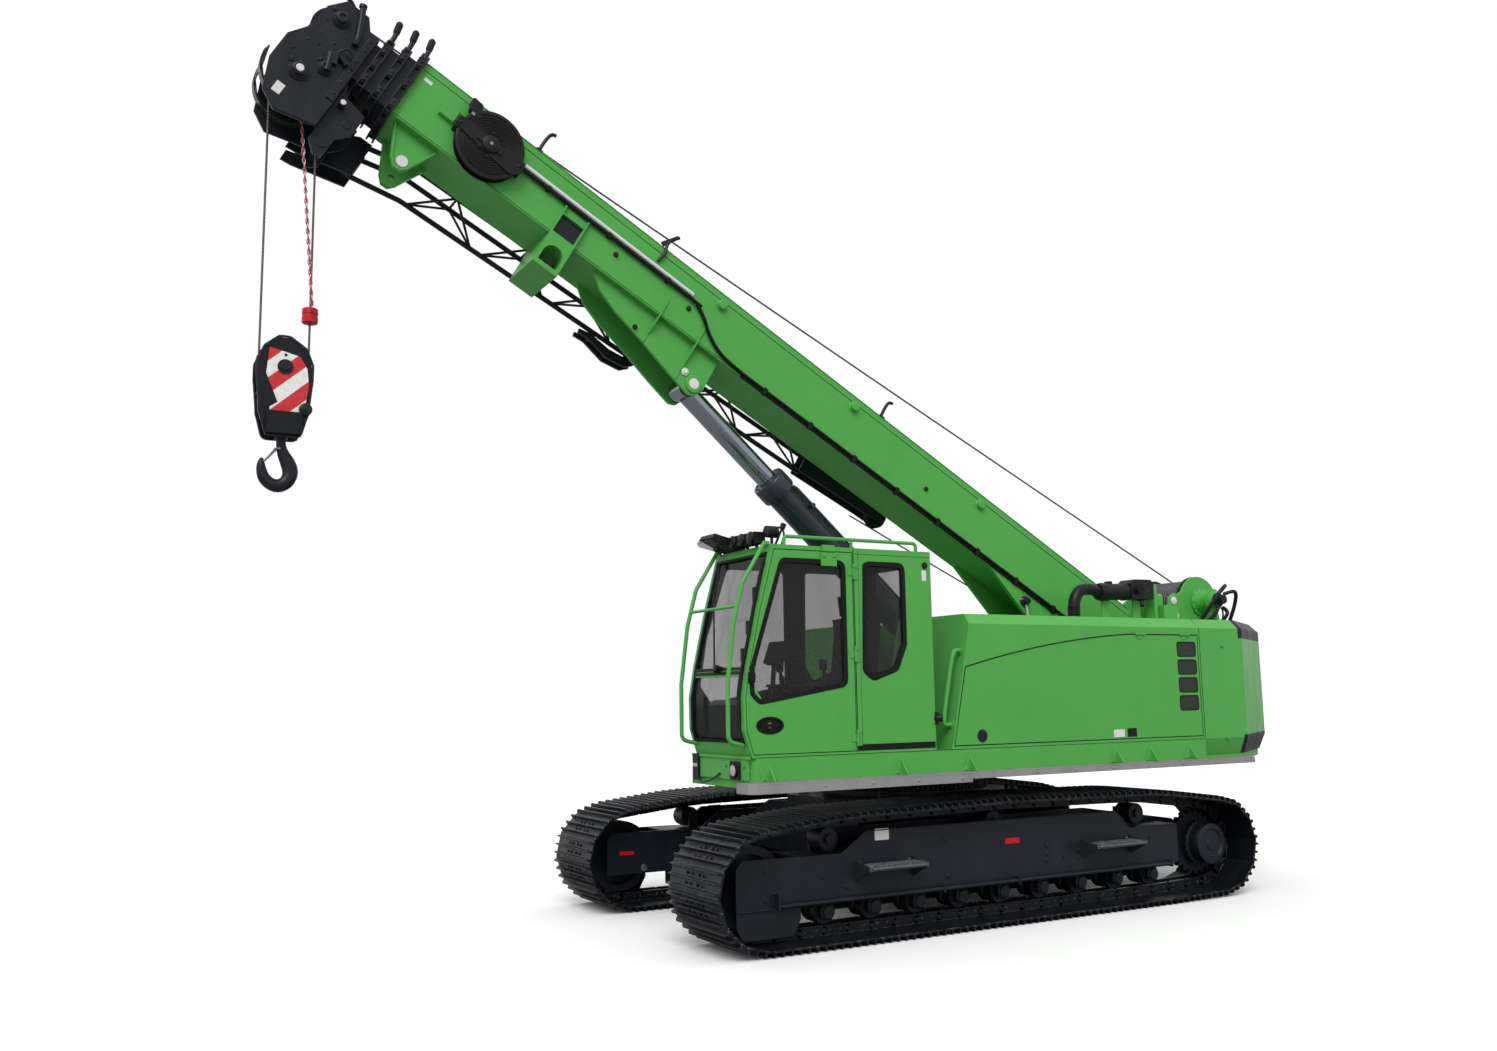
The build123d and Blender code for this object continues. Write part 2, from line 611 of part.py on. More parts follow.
def hood_left():
    section = [(HOOD_IN, DECK_TOP), (DECK_HALF, DECK_TOP), (DECK_HALF, HOOD_TOP - HOOD_BEVEL),
               (DECK_HALF - HOOD_BEVEL, HOOD_TOP), (HOOD_IN, HOOD_TOP)]
    side = [(DECK_REAR, DECK_TOP - 10), (HOOD_LEAN_BOTTOM, DECK_TOP), (HOOD_LEAN_TOP, HOOD_TOP),
            (DECK_REAR, HOOD_TOP + 10)]
    hood = slab_yz(section, DECK_REAR, HOOD_LEAN_BOTTOM + 50) & slab_xz(side, HOOD_IN, DECK_HALF)
    hollow = slab_yz(section, DECK_REAR, HOOD_LEAN_BOTTOM + 50, inward=HOOD_WALL)
    hollow += block(DECK_REAR + 1, HOOD_LEAN_BOTTOM, HOOD_IN + HOOD_WALL, DECK_HALF - HOOD_WALL, DECK_TOP - 10, 1500)
    hollow &= slab_xz([(DECK_REAR + HOOD_WALL, DECK_TOP - 10), (HOOD_LEAN_BOTTOM - HOOD_WALL, DECK_TOP - 10),
                       (HOOD_LEAN_TOP - HOOD_WALL, HOOD_TOP), (DECK_REAR + HOOD_WALL, HOOD_TOP)], HOOD_IN, DECK_HALF)
    hood -= hollow
    hood -= flap_slab(DECK_HALF - 2 * HOOD_WALL, DECK_HALF + 10, PANEL_GAP)
    for x in FLAP_HINGES:
        hood += rod((x - 60, FLAP_HINGE_Y, FLAP_HINGE_Z), (x + 60, FLAP_HINGE_Y, FLAP_HINGE_Z), HINGE_PIN)
        for side in (-1, 1):
            a, b = x + side * 31, x + side * 60
            hood += rod((a, FLAP_HINGE_Y, FLAP_HINGE_Z), (b, FLAP_HINGE_Y, FLAP_HINGE_Z), HINGE_KNUCKLE)
            hood += block(a, b, DECK_HALF - 1, DECK_HALF + 5, FLAP_HINGE_Z + 4, FLAP_HINGE_Z + 42)
    return hood


def flap():
    panel = flap_slab(DECK_HALF - HOOD_WALL, DECK_HALF)
    for k in range(4):
        z = 1620 + 160 * k
        panel -= block(-2340, -2105, DECK_HALF - 14, DECK_HALF + 10, z, z + 130)
        for slat in range(3):
            panel += block(-2340, -2105, DECK_HALF - 14, DECK_HALF - 4, z + 20 + 38 * slat, z + 32 + 38 * slat)
    panel -= block(-1545, -1430, DECK_HALF - 12, DECK_HALF + 10, 1402, 1478)
    panel -= cross_rod(204, 1455, DECK_HALF - 10, DECK_HALF + 10, 36)
    for x in FLAP_HINGES:
        panel += rod((x - 30, FLAP_HINGE_Y, FLAP_HINGE_Z), (x + 30, FLAP_HINGE_Y, FLAP_HINGE_Z), HINGE_KNUCKLE)
        panel += block(x - 30, x + 30, DECK_HALF - 1, DECK_HALF + 5, FLAP_HINGE_Z - 42, FLAP_HINGE_Z - 4)
        panel -= rod((x - 70, FLAP_HINGE_Y, FLAP_HINGE_Z), (x + 70, FLAP_HINGE_Y, FLAP_HINGE_Z), HINGE_PIN + RUN_GAP)
    return panel


def engine_block():
    return block(-2250, -900, -1150, -420, DECK_TOP, 2150)


def weight_outline(inset):
    edge = DECK_HALF - inset
    left = [(DECK_REAR - SEAT_GAP, edge), (WEIGHT_CREASE, edge), (WEIGHT_CORNER + inset, CORNER_HALF - inset / 2),
            (WEIGHT_REAR + inset, CORNER_HALF - 140)]
    return left + [(x, -y) for x, y in reversed(left)]


def lofted(outline_low, z_low, outline_high, z_high):
    low = Plane.XY.offset(z_low) * outline_face(outline_low)
    high = Plane.XY.offset(z_high) * outline_face(outline_high)
    return loft([low, high], ruled=True)


def counterweight_body():
    low = HOOD_TOP - HOOD_BEVEL
    body = lofted(weight_outline(60), WEIGHT_BOTTOM, weight_outline(0), DECK_TOP)
    body += slab_xy(weight_outline(0), DECK_TOP, low)
    body += lofted(weight_outline(0), low, weight_outline(HOOD_BEVEL), HOOD_TOP)
    body -= block(WEIGHT_NOTCH, DECK_REAR + 10, -HOOD_IN, HOOD_IN, WEIGHT_BOTTOM - 10, HOOD_TOP + 10)
    body -= block(WEIGHT_REAR - 10, DECK_REAR + 10, -440, 440, 2385, HOOD_TOP + 10)
    return body


def cap_zone():
    out = Part()
    for z0, z1 in ((2270, HOOD_TOP + 10), (WEIGHT_BOTTOM - 10, 1360)):
        out += block(-3130, -2925, 1100, 1400, z0, z1)
    return both_sides(out)


def winch_frame():
    out = Part()
    side = slab_xz([(-3900, 2385), (-3180, 2385), (-3300, 2820), (-3430, 2960), (-3640, 2960), (-3860, 2640)],
                   DRUM_HALF + 70, DRUM_HALF + 95)
    out += both_sides(side)
    out += block(-3900, -3820, -DRUM_HALF - 70, DRUM_HALF + 70, 2385, 2425)
    out += cross_rod(WINCH_X, WINCH_Z, -DRUM_HALF - 110, DRUM_HALF + 110, 50)
    out += cross_rod(WINCH_X, WINCH_Z, DRUM_HALF + 95, 540, 120)
    return out


def winch_drum():
    half = DRUM_HALF
    bore = 50 + RUN_GAP
    section = [(bore, -half - 60), (100, -half - 60), (100, -half - 30), (FLANGE_RADIUS, -half - 30),
               (FLANGE_RADIUS, -half), (DRUM_RADIUS, -half), (DRUM_RADIUS, half), (FLANGE_RADIUS, half),
               (FLANGE_RADIUS, half + 30), (100, half + 30), (100, half + 60), (bore, half + 60)]
    return turned(WINCH_X, 0, WINCH_Z, section)


def air_cleaner():
    out = rod((-2335, 800, 2750), (-1640, 800, 2690), 105)
    out += rod((-2300, 800, 2747), (-2240, 800, 2742), 118)
    out += bent_tube([(-1680, 800, 2690), (-1540, 800, 2690), (-1540, 800, HOOD_TOP)], 80, 70)
    for x in (-2200, -1850):
        out += block(x - 25, x + 25, 760, 840, HOOD_TOP, 2640)
        out += block(x - 25, x + 25, 700, 900, 2600, 2650)
    return out


def box_tube(u0, u1, half, low, high, wall):
    return block(u0, u1, -half, half, low, high) - block(u0 - 10, u1 + 10, wall - half, half - wall, low + wall, high - wall)


def section_size(step):
    # half width, low and high side of section 2, 3 and 4 for step 1, 2 and 3
    grow = SECTION_INSET * step
    return BASE_HALF - grow, BASE_LOW + grow, BASE_HIGH - grow


def collar(u, step):
    # steel collar and pads that guide the next section
    half, low, high = section_size(step - 1) if step > 1 else (BASE_HALF, BASE_LOW, BASE_HIGH)
    inner_half, inner_low, inner_high = section_size(step)
    end = u + COLLAR_LENGTH
    out = block(u, end, -half - 12, half + 12, low - 12, high + 12)
    for u0 in (u, end - COLLAR_FLANGE):
        flange = [(-half - 40, low - 15), (-half - 15, low - 40), (half + 15, low - 40), (half + 40, low - 15),
                  (half + 40, high + 15), (half + 15, high + 40), (-half - 15, high + 40), (-half - 40, high + 15)]
        out += slab_yz(flange, u0, u0 + COLLAR_FLANGE)
    for v in (low + 60, (low + high) / 2, high - 60):
        out += block(u, end, -half - 34, half + 34, v - 42, v + 42)
    for y in (-0.55 * half, 0.55 * half):
        out += block(u, end, y - 50, y + 50, low - 34, high + 34)
    return out - block(u - 10, u + 200, -inner_half - SEAT_GAP, inner_half + SEAT_GAP, inner_low - SEAT_GAP,
                       inner_high + SEAT_GAP)


def collar_u(step):
    return BASE_FRONT + (step - 1) * (COLLAR_LENGTH + COLLAR_GAP)


def boom_base():
    tube = box_tube(BASE_REAR, BASE_FRONT, BASE_HALF, BASE_LOW, BASE_HIGH, BASE_WALL)
    tube += collar(collar_u(1), 1)
    foot = slab_xz([(BASE_REAR, BASE_LOW), (-140, 60), (0, -120), (140, -60), (420, 160), (1500, BASE_LOW)],
                   BASE_HALF - 40, BASE_HALF)
    foot += cross_rod(0, 0, BASE_HALF - 40, BASE_HALF, 150)
    foot += cross_rod(0, 0, BASE_HALF - 40, TURRET_IN - SEAT_GAP, 105)
    tube += both_sides(foot)
    cheek = slab_xz([(EYE_U - 100, EYE_V), (EYE_U - 60, EYE_V - 80), (EYE_U, EYE_V - 105), (EYE_U + 232, EYE_V - 50),
                     (EYE_U + 592, EYE_V + 50), (EYE_U + 872, EYE_V + 114), (EYE_U + 1060, EYE_V + 182),
                     (EYE_U + 1202, BASE_LOW), (EYE_U - 100, BASE_LOW)], CHEEK_IN, CHEEK_IN + CHEEK_THICK)
    cheek += cross_rod(EYE_U, EYE_V, 105, CHEEK_IN + CHEEK_THICK + 15, 50)
    tube += both_sides(cheek)
    # ribs from the side wall to the cheek: distance from the eye, height of the cheek's edge there
    out = CHEEK_IN + CHEEK_THICK
    for u, edge in ((EYE_U + 155, EYE_V - 60), (EYE_U + 545, EYE_V + 40)):
        rib = [(BASE_HALF, 640), (BASE_HALF + 14, 620), (BASE_HALF + 14, BASE_LOW - 10), (BASE_HALF, BASE_LOW - 70),
               (out + 8, edge + 70), (out + 8, edge), (out - 5, edge), (out - 5, BASE_LOW), (BASE_HALF, BASE_LOW)]
        tube += both_sides(slab_yz(rib, u, u + 12))
    saddle = block(SADDLE_U, SADDLE_U + 230, -BASE_HALF - 35, BASE_HALF + 35, 200, 770)
    saddle -= block(SADDLE_U - 10, SADDLE_U + 240, -BASE_HALF, BASE_HALF, BASE_LOW, BASE_HIGH)
    saddle -= block(SADDLE_U + 30, SADDLE_U + 200, -BASE_HALF - 60, BASE_HALF + 60, 240, 330)
    saddle -= cross_rod(SADDLE_U + 115, 330, -BASE_HALF - 60, BASE_HALF + 60, 85)
    for low, high in ((515, 690), (700, 780)):
        recess = block(SADDLE_U + 14, SADDLE_U + 216, BASE_HALF + 8, BASE_HALF + 50, low, high)
        saddle -= both_sides(recess)
    tube += saddle
    lug = slab_xz([(7470, BASE_LOW), (7590, 230), (7620, 185), (7690, 185), (7740, 240), (7860, BASE_LOW)], 150, 185)
    lug -= cross_rod(7653, 260, 100, 250, 26)
    tube += both_sides(lug)
    tube += block(7510, 7640, BASE_HALF, BASE_HALF + 30, 740, 860)
    tube -= cross_rod(0, 0, -400, 400, FOOT_PIN + RUN_GAP)
    return boom_place(tube)


def cable_reel():
    reel = turned(7198, BASE_HALF + 2, 750, [(0, 0), (270, 0), (270, 12), (235, 12), (235, 70), (270, 70), (270, 82),
                                              (0, 82)])
    reel += block(6900, 7500, BASE_HALF + 84, BASE_HALF + 96, 700, 800)
    reel += block(6900, 6925, BASE_HALF, BASE_HALF + 96, 700, 800)
    reel += block(7475, 7500, BASE_HALF, BASE_HALF + 96, 700, 800)
    return boom_place(reel)


def hose_run():
    y = BASE_HALF + 20 + SEAT_GAP
    run = rod((5200, y, 825), (6895, y, 825), 20)
    run += bent_tube([(5240, y, 825), (5080, y, 825), (4900, y, 600), (4700, y, 530), (4400, y, 520)],
                     [60, 90, 120], 13)
    run += rod((4400, y, 520), (300, y, 520), 13)
    return boom_place(run)


def boom_section(step):
    half, low, high = section_size(step)
    front = collar_u(step + 1)
    tube = box_tube(BASE_REAR + 160 * step, front, half, low, high, SECTION_WALL)
    tube += collar(front, step + 1)
    return boom_place(tube)


def sheave_guard(start, end, y0, y1):
    # bent plate round the lower sheave between two angles, seen from the left
    steps = 6
    outer, inner = [], []
    for k in range(steps + 1):
        angle = math.radians(start + (end - start) * k / steps)
        outer.append((LOWER_U + GUARD_RADIUS * math.cos(angle), LOWER_V + GUARD_RADIUS * math.sin(angle)))
        inner.append((LOWER_U + (GUARD_RADIUS - 8) * math.cos(angle), LOWER_V + (GUARD_RADIUS - 8) * math.sin(angle)))
    return slab_xz(outer + inner[::-1], y0, y1)


def boom_head():
    half, low, high = section_size(3)
    front = collar_u(3) + COLLAR_LENGTH + COLLAR_GAP
    tube = box_tube(BASE_REAR + 480, front + 40, half, low, high, SECTION_WALL)
    plate = slab_xz([(8270, 60), (8560, -30), (8700, 60), (8790, 300), (8790, 540), (8700, 700), (8690, 920),
                     (8600, 1060), (8420, 1060), (8350, 960), (8270, 940)], HEAD_HALF, HEAD_HALF + HEAD_PLATE)
    plate -= cross_rod(8344, 120, 150, 250, 24)
    tube += both_sides(plate)
    tube += block(8270, 8300, -HEAD_HALF, HEAD_HALF, low - 30, high + 30)
    tube += both_sides(sheave_guard(-172, 8, GUARD_IN, HEAD_HALF)) + sheave_guard(-30, 8, -HEAD_HALF, HEAD_HALF)
    for u, v, r in ((LOWER_U, LOWER_V, 78), (UPPER_U, UPPER_V, 70), (8452, 490, 62)):
        tube += both_sides(cross_rod(u, v, HEAD_HALF + HEAD_PLATE, HEAD_HALF + HEAD_PLATE + 14, r))
    reach = HEAD_HALF + HEAD_PLATE + 20
    tube += cross_rod(LOWER_U, LOWER_V, -reach, reach, 40)
    tube += cross_rod(UPPER_U, UPPER_V, -reach, reach, 40)
    for side in (-1, 1):
        tube += cross_rod(LOWER_U, LOWER_V, side * (SHEAVE_WIDTH / 2 + SEAT_GAP), side * HEAD_HALF, BOSS_RADIUS)
        tube += cross_rod(UPPER_U, UPPER_V, side * (SHEAVE_WIDTH / 2 + SEAT_GAP), side * HEAD_HALF, BOSS_RADIUS)
    return boom_place(tube)


def sheave(x, z, bore=40 + RUN_GAP):
    half = SHEAVE_WIDTH / 2
    groove = SHEAVE_PITCH - ROPE_RADIUS - SEAT_GAP
    section = [(bore, -half), (65, -half), (65, -12), (groove - 20, -12), (SHEAVE_RIM, -half + 8), (SHEAVE_RIM, -half + 14),
               (groove, -9), (groove, 9), (SHEAVE_RIM, half - 14), (SHEAVE_RIM, half - 8), (groove - 20, 12),
               (65, 12), (65, half), (bore, half)]
    return turned(x, 0, z, section)


def lift_barrel():
    tube = rod((70, 0, 0), (BARREL_LENGTH, 0, 0), BARREL_RADIUS) + rod((BARREL_LENGTH - 160, 0, 0),
                                                                       (BARREL_LENGTH, 0, 0), BARREL_RADIUS + 22)
    tube += cross_rod(0, 0, -BARREL_EYE, BARREL_EYE, 125)
    tube -= rod((250, 0, 0), (BARREL_LENGTH - 200, 0, 0), ROD_RADIUS + 15)
    tube -= rod((250, 0, 0), (BARREL_LENGTH + 10, 0, 0), ROD_RADIUS + RUN_GAP)
    tube -= cross_rod(0, 0, -200, 200, BARREL_PIN + RUN_GAP)
    return lift_place(tube)


def lift_rod():
    bar = rod((LIFT_LENGTH - ROD_LENGTH, 0, 0), (LIFT_LENGTH - 60, 0, 0), ROD_RADIUS)
    bar += cross_rod(LIFT_LENGTH, 0, -100, 100, 88)
    bar -= cross_rod(LIFT_LENGTH, 0, -200, 200, 51)
    return lift_place(bar)


LOWER_X, LOWER_Z = boom_point(LOWER_U, LOWER_V)
HALF_FALL = (LOWER_Z + BLOCK_Z) / 2


def rope_falls(z0, z1):
    out = Part()
    for side in (-1, 1):
        x = LOWER_X + side * SHEAVE_PITCH
        out += rod((x, 0, z0), (x, 0, z1), ROPE_RADIUS)
    return out


def limit_weight():
    x = LOWER_X - SHEAVE_PITCH
    z = BLOCK_Z + 420
    section = [(ROPE_RADIUS + 6, -55), (48, -55), (54, -40), (54, 40), (48, 55), (ROPE_RADIUS + 6, 55)]
    weight = Pos(x, 0, z) * revolve(Plane.XZ * make_face(Polyline(*section, close=True)), axis=Axis.Z)
    weight += block(x - 6, x + 6, 40, 90, z + 20, z + 32)
    weight += rod((x, 84, z + 26), (LOWER_X - 30, 90, LOWER_Z - BOSS_RADIUS - 14), 6)
    hanger = cross_rod(LOWER_X, LOWER_Z, 80, 100, BOSS_RADIUS + 22)
    return weight + hanger - cross_rod(LOWER_X, LOWER_Z, 70, 110, BOSS_RADIUS + RUN_GAP)


def hook_block():
    x = LOWER_X
    z = BLOCK_Z
    cheek_line = [(x - 60, z + 215), (x + 60, z + 215), (x + 165, z + 110), (x + 190, z - 40), (x + 175, z - 330),
                  (x + 120, z - 500), (x - 120, z - 500), (x - 175, z - 330), (x - 190, z - 40), (x - 165, z + 110)]
    out = both_sides(slab_xz(cheek_line, BLOCK_CHEEK_IN, BLOCK_CHEEK_IN + 20))
    reach = BLOCK_CHEEK_IN + 30
    out += cross_rod(x, z, -reach, reach, 40)
    out += cross_rod(x, z, -BLOCK_CHEEK_IN, BLOCK_CHEEK_IN, 62)
    out += sheave(x, z, 30)
    out += block(x - 90, x + 90, -BLOCK_CHEEK_IN, BLOCK_CHEEK_IN, z - 470, z - 350)
    out += block(x - 120, x + 120, BLOCK_CHEEK_IN + 20, BLOCK_CHEEK_IN + 60, z - 490, z - 330)
    out += block(x - 120, x + 120, -BLOCK_CHEEK_IN - 60, -BLOCK_CHEEK_IN - 20, z - 490, z - 330)
    return out - rod((x, 0, z - 500), (x, 0, z - 340), HOOK_SHANK + RUN_GAP)


def hook():
    x = LOWER_X
    z = HOOK_Z
    top = BLOCK_Z - 350
    shank = rod((x, 0, z + 150), (x, 0, top + 4), HOOK_SHANK)
    shank += rod((x, 0, top + SEAT_GAP), (x, 0, top + 40), BLOCK_CHEEK_IN - 6)
    bowl = Pos(x + 14, z - 15) * Circle(HOOK_BOWL) - Pos(x + 34, z - 7) * Circle(HOOK_THROAT)
    bowl -= make_face(Polyline((x - 8, z + 23), (x + 96, z + 23), (x + 112, z + 70), (x + 150, z + 100),
                               (x + 150, z + 250), (x + 20, z + 250), (x + 20, z + 110), close=True))
    bowl += make_face(Polyline((x - 34, z + 215), (x + 34, z + 215), (x + 30, z + 163), (x + 12, z + 113),
                               (x - 8, z + 43), (x - 24, z - 7), (x - 128, z - 7), (x - 118, z + 43),
                               (x - 92, z + 91), (x - 45, z + 153), close=True))
    bowl = Plane.XZ.offset(-36) * bowl
    return shank + extrude(bowl, amount=72)


# lattice jib stowed beside the boom's lower edge: bays between these places along u
JIB_NEAR = -335
JIB_FAR = -625
JIB_LOW = 110
JIB_HIGH = 370
JIB_CHORD = 22
JIB_LACE = 11
JIB_START = 3150
JIB_BAY = 520
JIB_BAYS = 9


def jib():
    rods = []
    end = JIB_START + JIB_BAY * JIB_BAYS
    tip = (2700, (JIB_NEAR + JIB_FAR) / 2)
    for y in (JIB_NEAR, JIB_FAR):
        for v in (JIB_LOW, JIB_HIGH):
            rods.append(rod((JIB_START, y, v), (end, y, v), JIB_CHORD))
            rods.append(rod((JIB_START, y, v), (tip[0], y * 0.5 + tip[1] * 0.5, 280), JIB_CHORD))
            rods.append(Pos(JIB_START, y, v) * Sphere(JIB_CHORD))
    for bay in range(JIB_BAYS):
        u0 = JIB_START + bay * JIB_BAY
        u1 = u0 + JIB_BAY
        mid = (u0 + u1) / 2
        for y in (JIB_NEAR, JIB_FAR):
            rods.append(rod((u0, y, JIB_LOW), (mid, y, JIB_HIGH), JIB_LACE))
            rods.append(rod((mid, y, JIB_HIGH), (u1, y, JIB_LOW), JIB_LACE))
        near, far = (JIB_NEAR, JIB_FAR) if bay % 2 else (JIB_FAR, JIB_NEAR)
        rods.append(rod((u0, near, JIB_LOW), (u1, far, JIB_LOW), JIB_LACE))
        rods.append(rod((u0, near, JIB_HIGH), (u1, far, JIB_HIGH), JIB_LACE))
    for u in (JIB_START, end):
        rods.append(rod((u, JIB_NEAR, JIB_LOW), (u, JIB_FAR, JIB_LOW), JIB_LACE))
        rods.append(rod((u, JIB_NEAR, JIB_HIGH), (u, JIB_FAR, JIB_HIGH), JIB_LACE))
    frame = Part() + rods
    # sheave fork at the thin end
    y0 = tip[1]
    for y in (y0 - 80, y0 + 65):
        frame += slab_xz([(2420, 240), (2460, 380), (2720, 330), (2720, 230)], y, y + 15)
    frame += cross_rod(2500, 300, y0 - 85, y0 + 85, 25)
    frame += cross_rod(2500, 300, y0 - 30, y0 + 30, 120)
    # foot plates at the head end
    for y in (JIB_NEAR - 12, JIB_FAR - 12):
        frame += slab_xz([(end - 60, 80), (end - 60, 400), (end + 120, 400), (end + 300, 180), (end + 420, -120),
                          (end + 380, -160), (end + 250, -60), (end + 100, 60)], y, y + 24)
    return boom_place(frame)


def jib_bracket():
    out = Part()
    for u in (5250, 7560):
        out += block(u, u + 40, JIB_NEAR + JIB_CHORD, -BASE_HALF, JIB_HIGH - 60, BASE_LOW + 120)
        out += block(u, u + 40, JIB_FAR - 40, JIB_NEAR + JIB_CHORD, JIB_HIGH + JIB_CHORD, JIB_HIGH + JIB_CHORD + 40)
    out += slab_xz([(5180, 60), (5420, -10), (5640, 60), (5600, 100), (5420, 50), (5200, 110)], JIB_NEAR + 30, JIB_NEAR + 60)
    out += block(5250, 5290, JIB_NEAR + 30, JIB_NEAR + 60, 60, BASE_LOW)
    return boom_place(out)


os.makedirs("parts", exist_ok=True)
NODES = [
    ("carbody", carbody()), ("slew_ring", slew_ring()),
    ("track_frame_left", track_frame()), ("track_frame_right", mirrored(track_frame())),
    ("track_left", track()), ("track_right", mirrored(track())),
    ("track_wheels", both_sides(idler() + sprocket())),
    ("track_rollers", track_rollers() + carrier_rollers()), ("frame_steps", frame_steps()),
    ("deck", deck()), ("catwalks", catwalks()),
    ("cab_shell", cab_shell()), ("cab_windows", cab_windows()), ("cab_interior", cab_interior()),
    ("cab_guard", cab_guard()), ("work_lamps", work_lamps()), ("cab_door", cab_door()), ("door_glass", door_glass()),
    ("hood_left", hood_left()), ("hood_right", mirrored(hood_left())),
    ("flap_left", flap()), ("flap_right", mirrored(flap())),
    ("engine_block", engine_block()),
    ("counterweight", counterweight_body() - cap_zone()), ("corner_caps", counterweight_body() & cap_zone()),
    ("winch_frame", winch_frame()), ("winch_drum", winch_drum()), ("air_cleaner", air_cleaner()),
    ("boom_base_section", boom_base()), ("cable_reel", cable_reel()), ("cable_run", hose_run()),
    ("jib", jib()), ("jib_bracket", jib_bracket()),
    ("boom_section_2", boom_section(1)), ("boom_section_3", boom_section(2)), ("boom_head", boom_head()),
    ("upper_sheave", sheave(*boom_point(UPPER_U, UPPER_V))), ("lower_sheave", sheave(LOWER_X, LOWER_Z)),
    ("lift_barrel", lift_barrel()), ("lift_rod", lift_rod()),
    ("rope_falls_upper", rope_falls(HALF_FALL, LOWER_Z)), ("rope_falls_lower", rope_falls(BLOCK_Z, HALF_FALL)),
    ("limit_weight", limit_weight()), ("hook_block", hook_block()), ("hook", hook()),
]
for node, shape in NODES:
    save(node, shape)
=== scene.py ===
import bpy
import bmesh
import math
from mathutils import Matrix, Vector


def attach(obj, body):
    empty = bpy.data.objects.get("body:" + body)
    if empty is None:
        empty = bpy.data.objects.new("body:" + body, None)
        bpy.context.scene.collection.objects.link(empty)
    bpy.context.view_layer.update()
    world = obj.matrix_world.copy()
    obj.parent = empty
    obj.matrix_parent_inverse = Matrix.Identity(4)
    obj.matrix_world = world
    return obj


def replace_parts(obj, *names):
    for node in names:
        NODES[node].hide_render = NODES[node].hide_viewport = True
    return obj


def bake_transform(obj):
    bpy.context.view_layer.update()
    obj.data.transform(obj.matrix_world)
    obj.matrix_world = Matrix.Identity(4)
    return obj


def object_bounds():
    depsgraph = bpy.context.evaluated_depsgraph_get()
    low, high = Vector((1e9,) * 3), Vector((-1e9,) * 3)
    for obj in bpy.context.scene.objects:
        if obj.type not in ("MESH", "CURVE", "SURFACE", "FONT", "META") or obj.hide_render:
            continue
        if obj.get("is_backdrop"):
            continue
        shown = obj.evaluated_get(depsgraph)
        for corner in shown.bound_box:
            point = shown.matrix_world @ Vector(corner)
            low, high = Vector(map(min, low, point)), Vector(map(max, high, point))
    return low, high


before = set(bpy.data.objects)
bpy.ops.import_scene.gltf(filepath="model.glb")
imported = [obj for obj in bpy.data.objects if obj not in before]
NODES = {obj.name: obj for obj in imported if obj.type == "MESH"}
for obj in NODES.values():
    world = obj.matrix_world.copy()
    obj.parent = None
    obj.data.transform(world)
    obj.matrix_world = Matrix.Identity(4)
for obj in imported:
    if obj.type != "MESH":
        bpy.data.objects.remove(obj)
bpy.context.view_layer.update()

ALONG_X = (1, 0, 0)
ALONG_Y = (0, 1, 0)
UPWARD = (0, 0, 1)
# a hair outside the skins of the hoods and cab, and of the boom's base section
SIDE_FACE = 1.3205
BASE_FACE = 0.2505
# outer face of the seams and skins on the boom's base section
COAT_FACE = 0.2515
# across the machine: back and face of the flat marks on its sides, and the middle of drawn lines
MARK_BACK, MARK_FACE, LINE_Y = 1.3203, 1.3215, 1.3206
# height of the hoods' top
HOOD_TOP = 2.447
# along the boom: the two sides of the base section's front collar
COLLAR_U0, COLLAR_U1 = 7.9205, 7.9575
# the head's two sheaves, in the boom's frame
LOWER_U, LOWER_V = 8.578, 0.345
UPPER_U, UPPER_V = 8.560, 0.900

# the boom's own frame: u along the boom, v square to it, from the foot pin
FOOT = Vector((-1.895, 0, 1.85))
BOOM = Matrix.Translation(FOOT) @ Matrix.Rotation(math.radians(-29.5), 4, "Y")
LIFT = Matrix.Translation((-1.338, 0, 1.27)) @ Matrix.Rotation(math.radians(-41.5), 4, "Y")
LOWER = BOOM @ Vector((LOWER_U, 0, LOWER_V))
BLOCK_Z = 4.185


# Materials

def new_material(name):
    mat = bpy.data.materials.new(name)
    mat.use_nodes = True
    tree = mat.node_tree
    return mat, tree, tree.nodes["Principled BSDF"]


def noise(tree, scale, detail=3.0, stretch=(1, 1, 1)):
    coord = tree.nodes.new("ShaderNodeTexCoord")
    mapping = tree.nodes.new("ShaderNodeMapping")
    mapping.inputs["Scale"].default_value = stretch
    tex = tree.nodes.new("ShaderNodeTexNoise")
    tex.inputs["Scale"].default_value = scale
    tex.inputs["Detail"].default_value = detail
    tree.links.new(coord.outputs["Object"], mapping.inputs["Vector"])
    tree.links.new(mapping.outputs["Vector"], tex.inputs["Vector"])
    return tex.outputs["Fac"]


def ramp(tree, source, low, high, value_low, value_high):
    node = tree.nodes.new("ShaderNodeMapRange")
    node.inputs["From Min"].default_value = low
    node.inputs["From Max"].default_value = high
    node.inputs["To Min"].default_value = value_low
    node.inputs["To Max"].default_value = value_high
    tree.links.new(source, node.inputs["Value"])
    return node.outputs["Result"]


def mix(tree, factor, a, b, blend="MIX"):
    node = tree.nodes.new("ShaderNodeMix")
    node.data_type = "RGBA"
    node.blend_type = blend
    # the colour sockets share their names with the number ones, so they go by place
    for socket, value in ((node.inputs[0], factor), (node.inputs[6], a), (node.inputs[7], b)):
        if isinstance(value, bpy.types.NodeSocket):
            tree.links.new(value, socket)
        elif isinstance(value, (int, float)):
            socket.default_value = value
        else:
            socket.default_value = (*value, 1)
    return node.outputs[2]


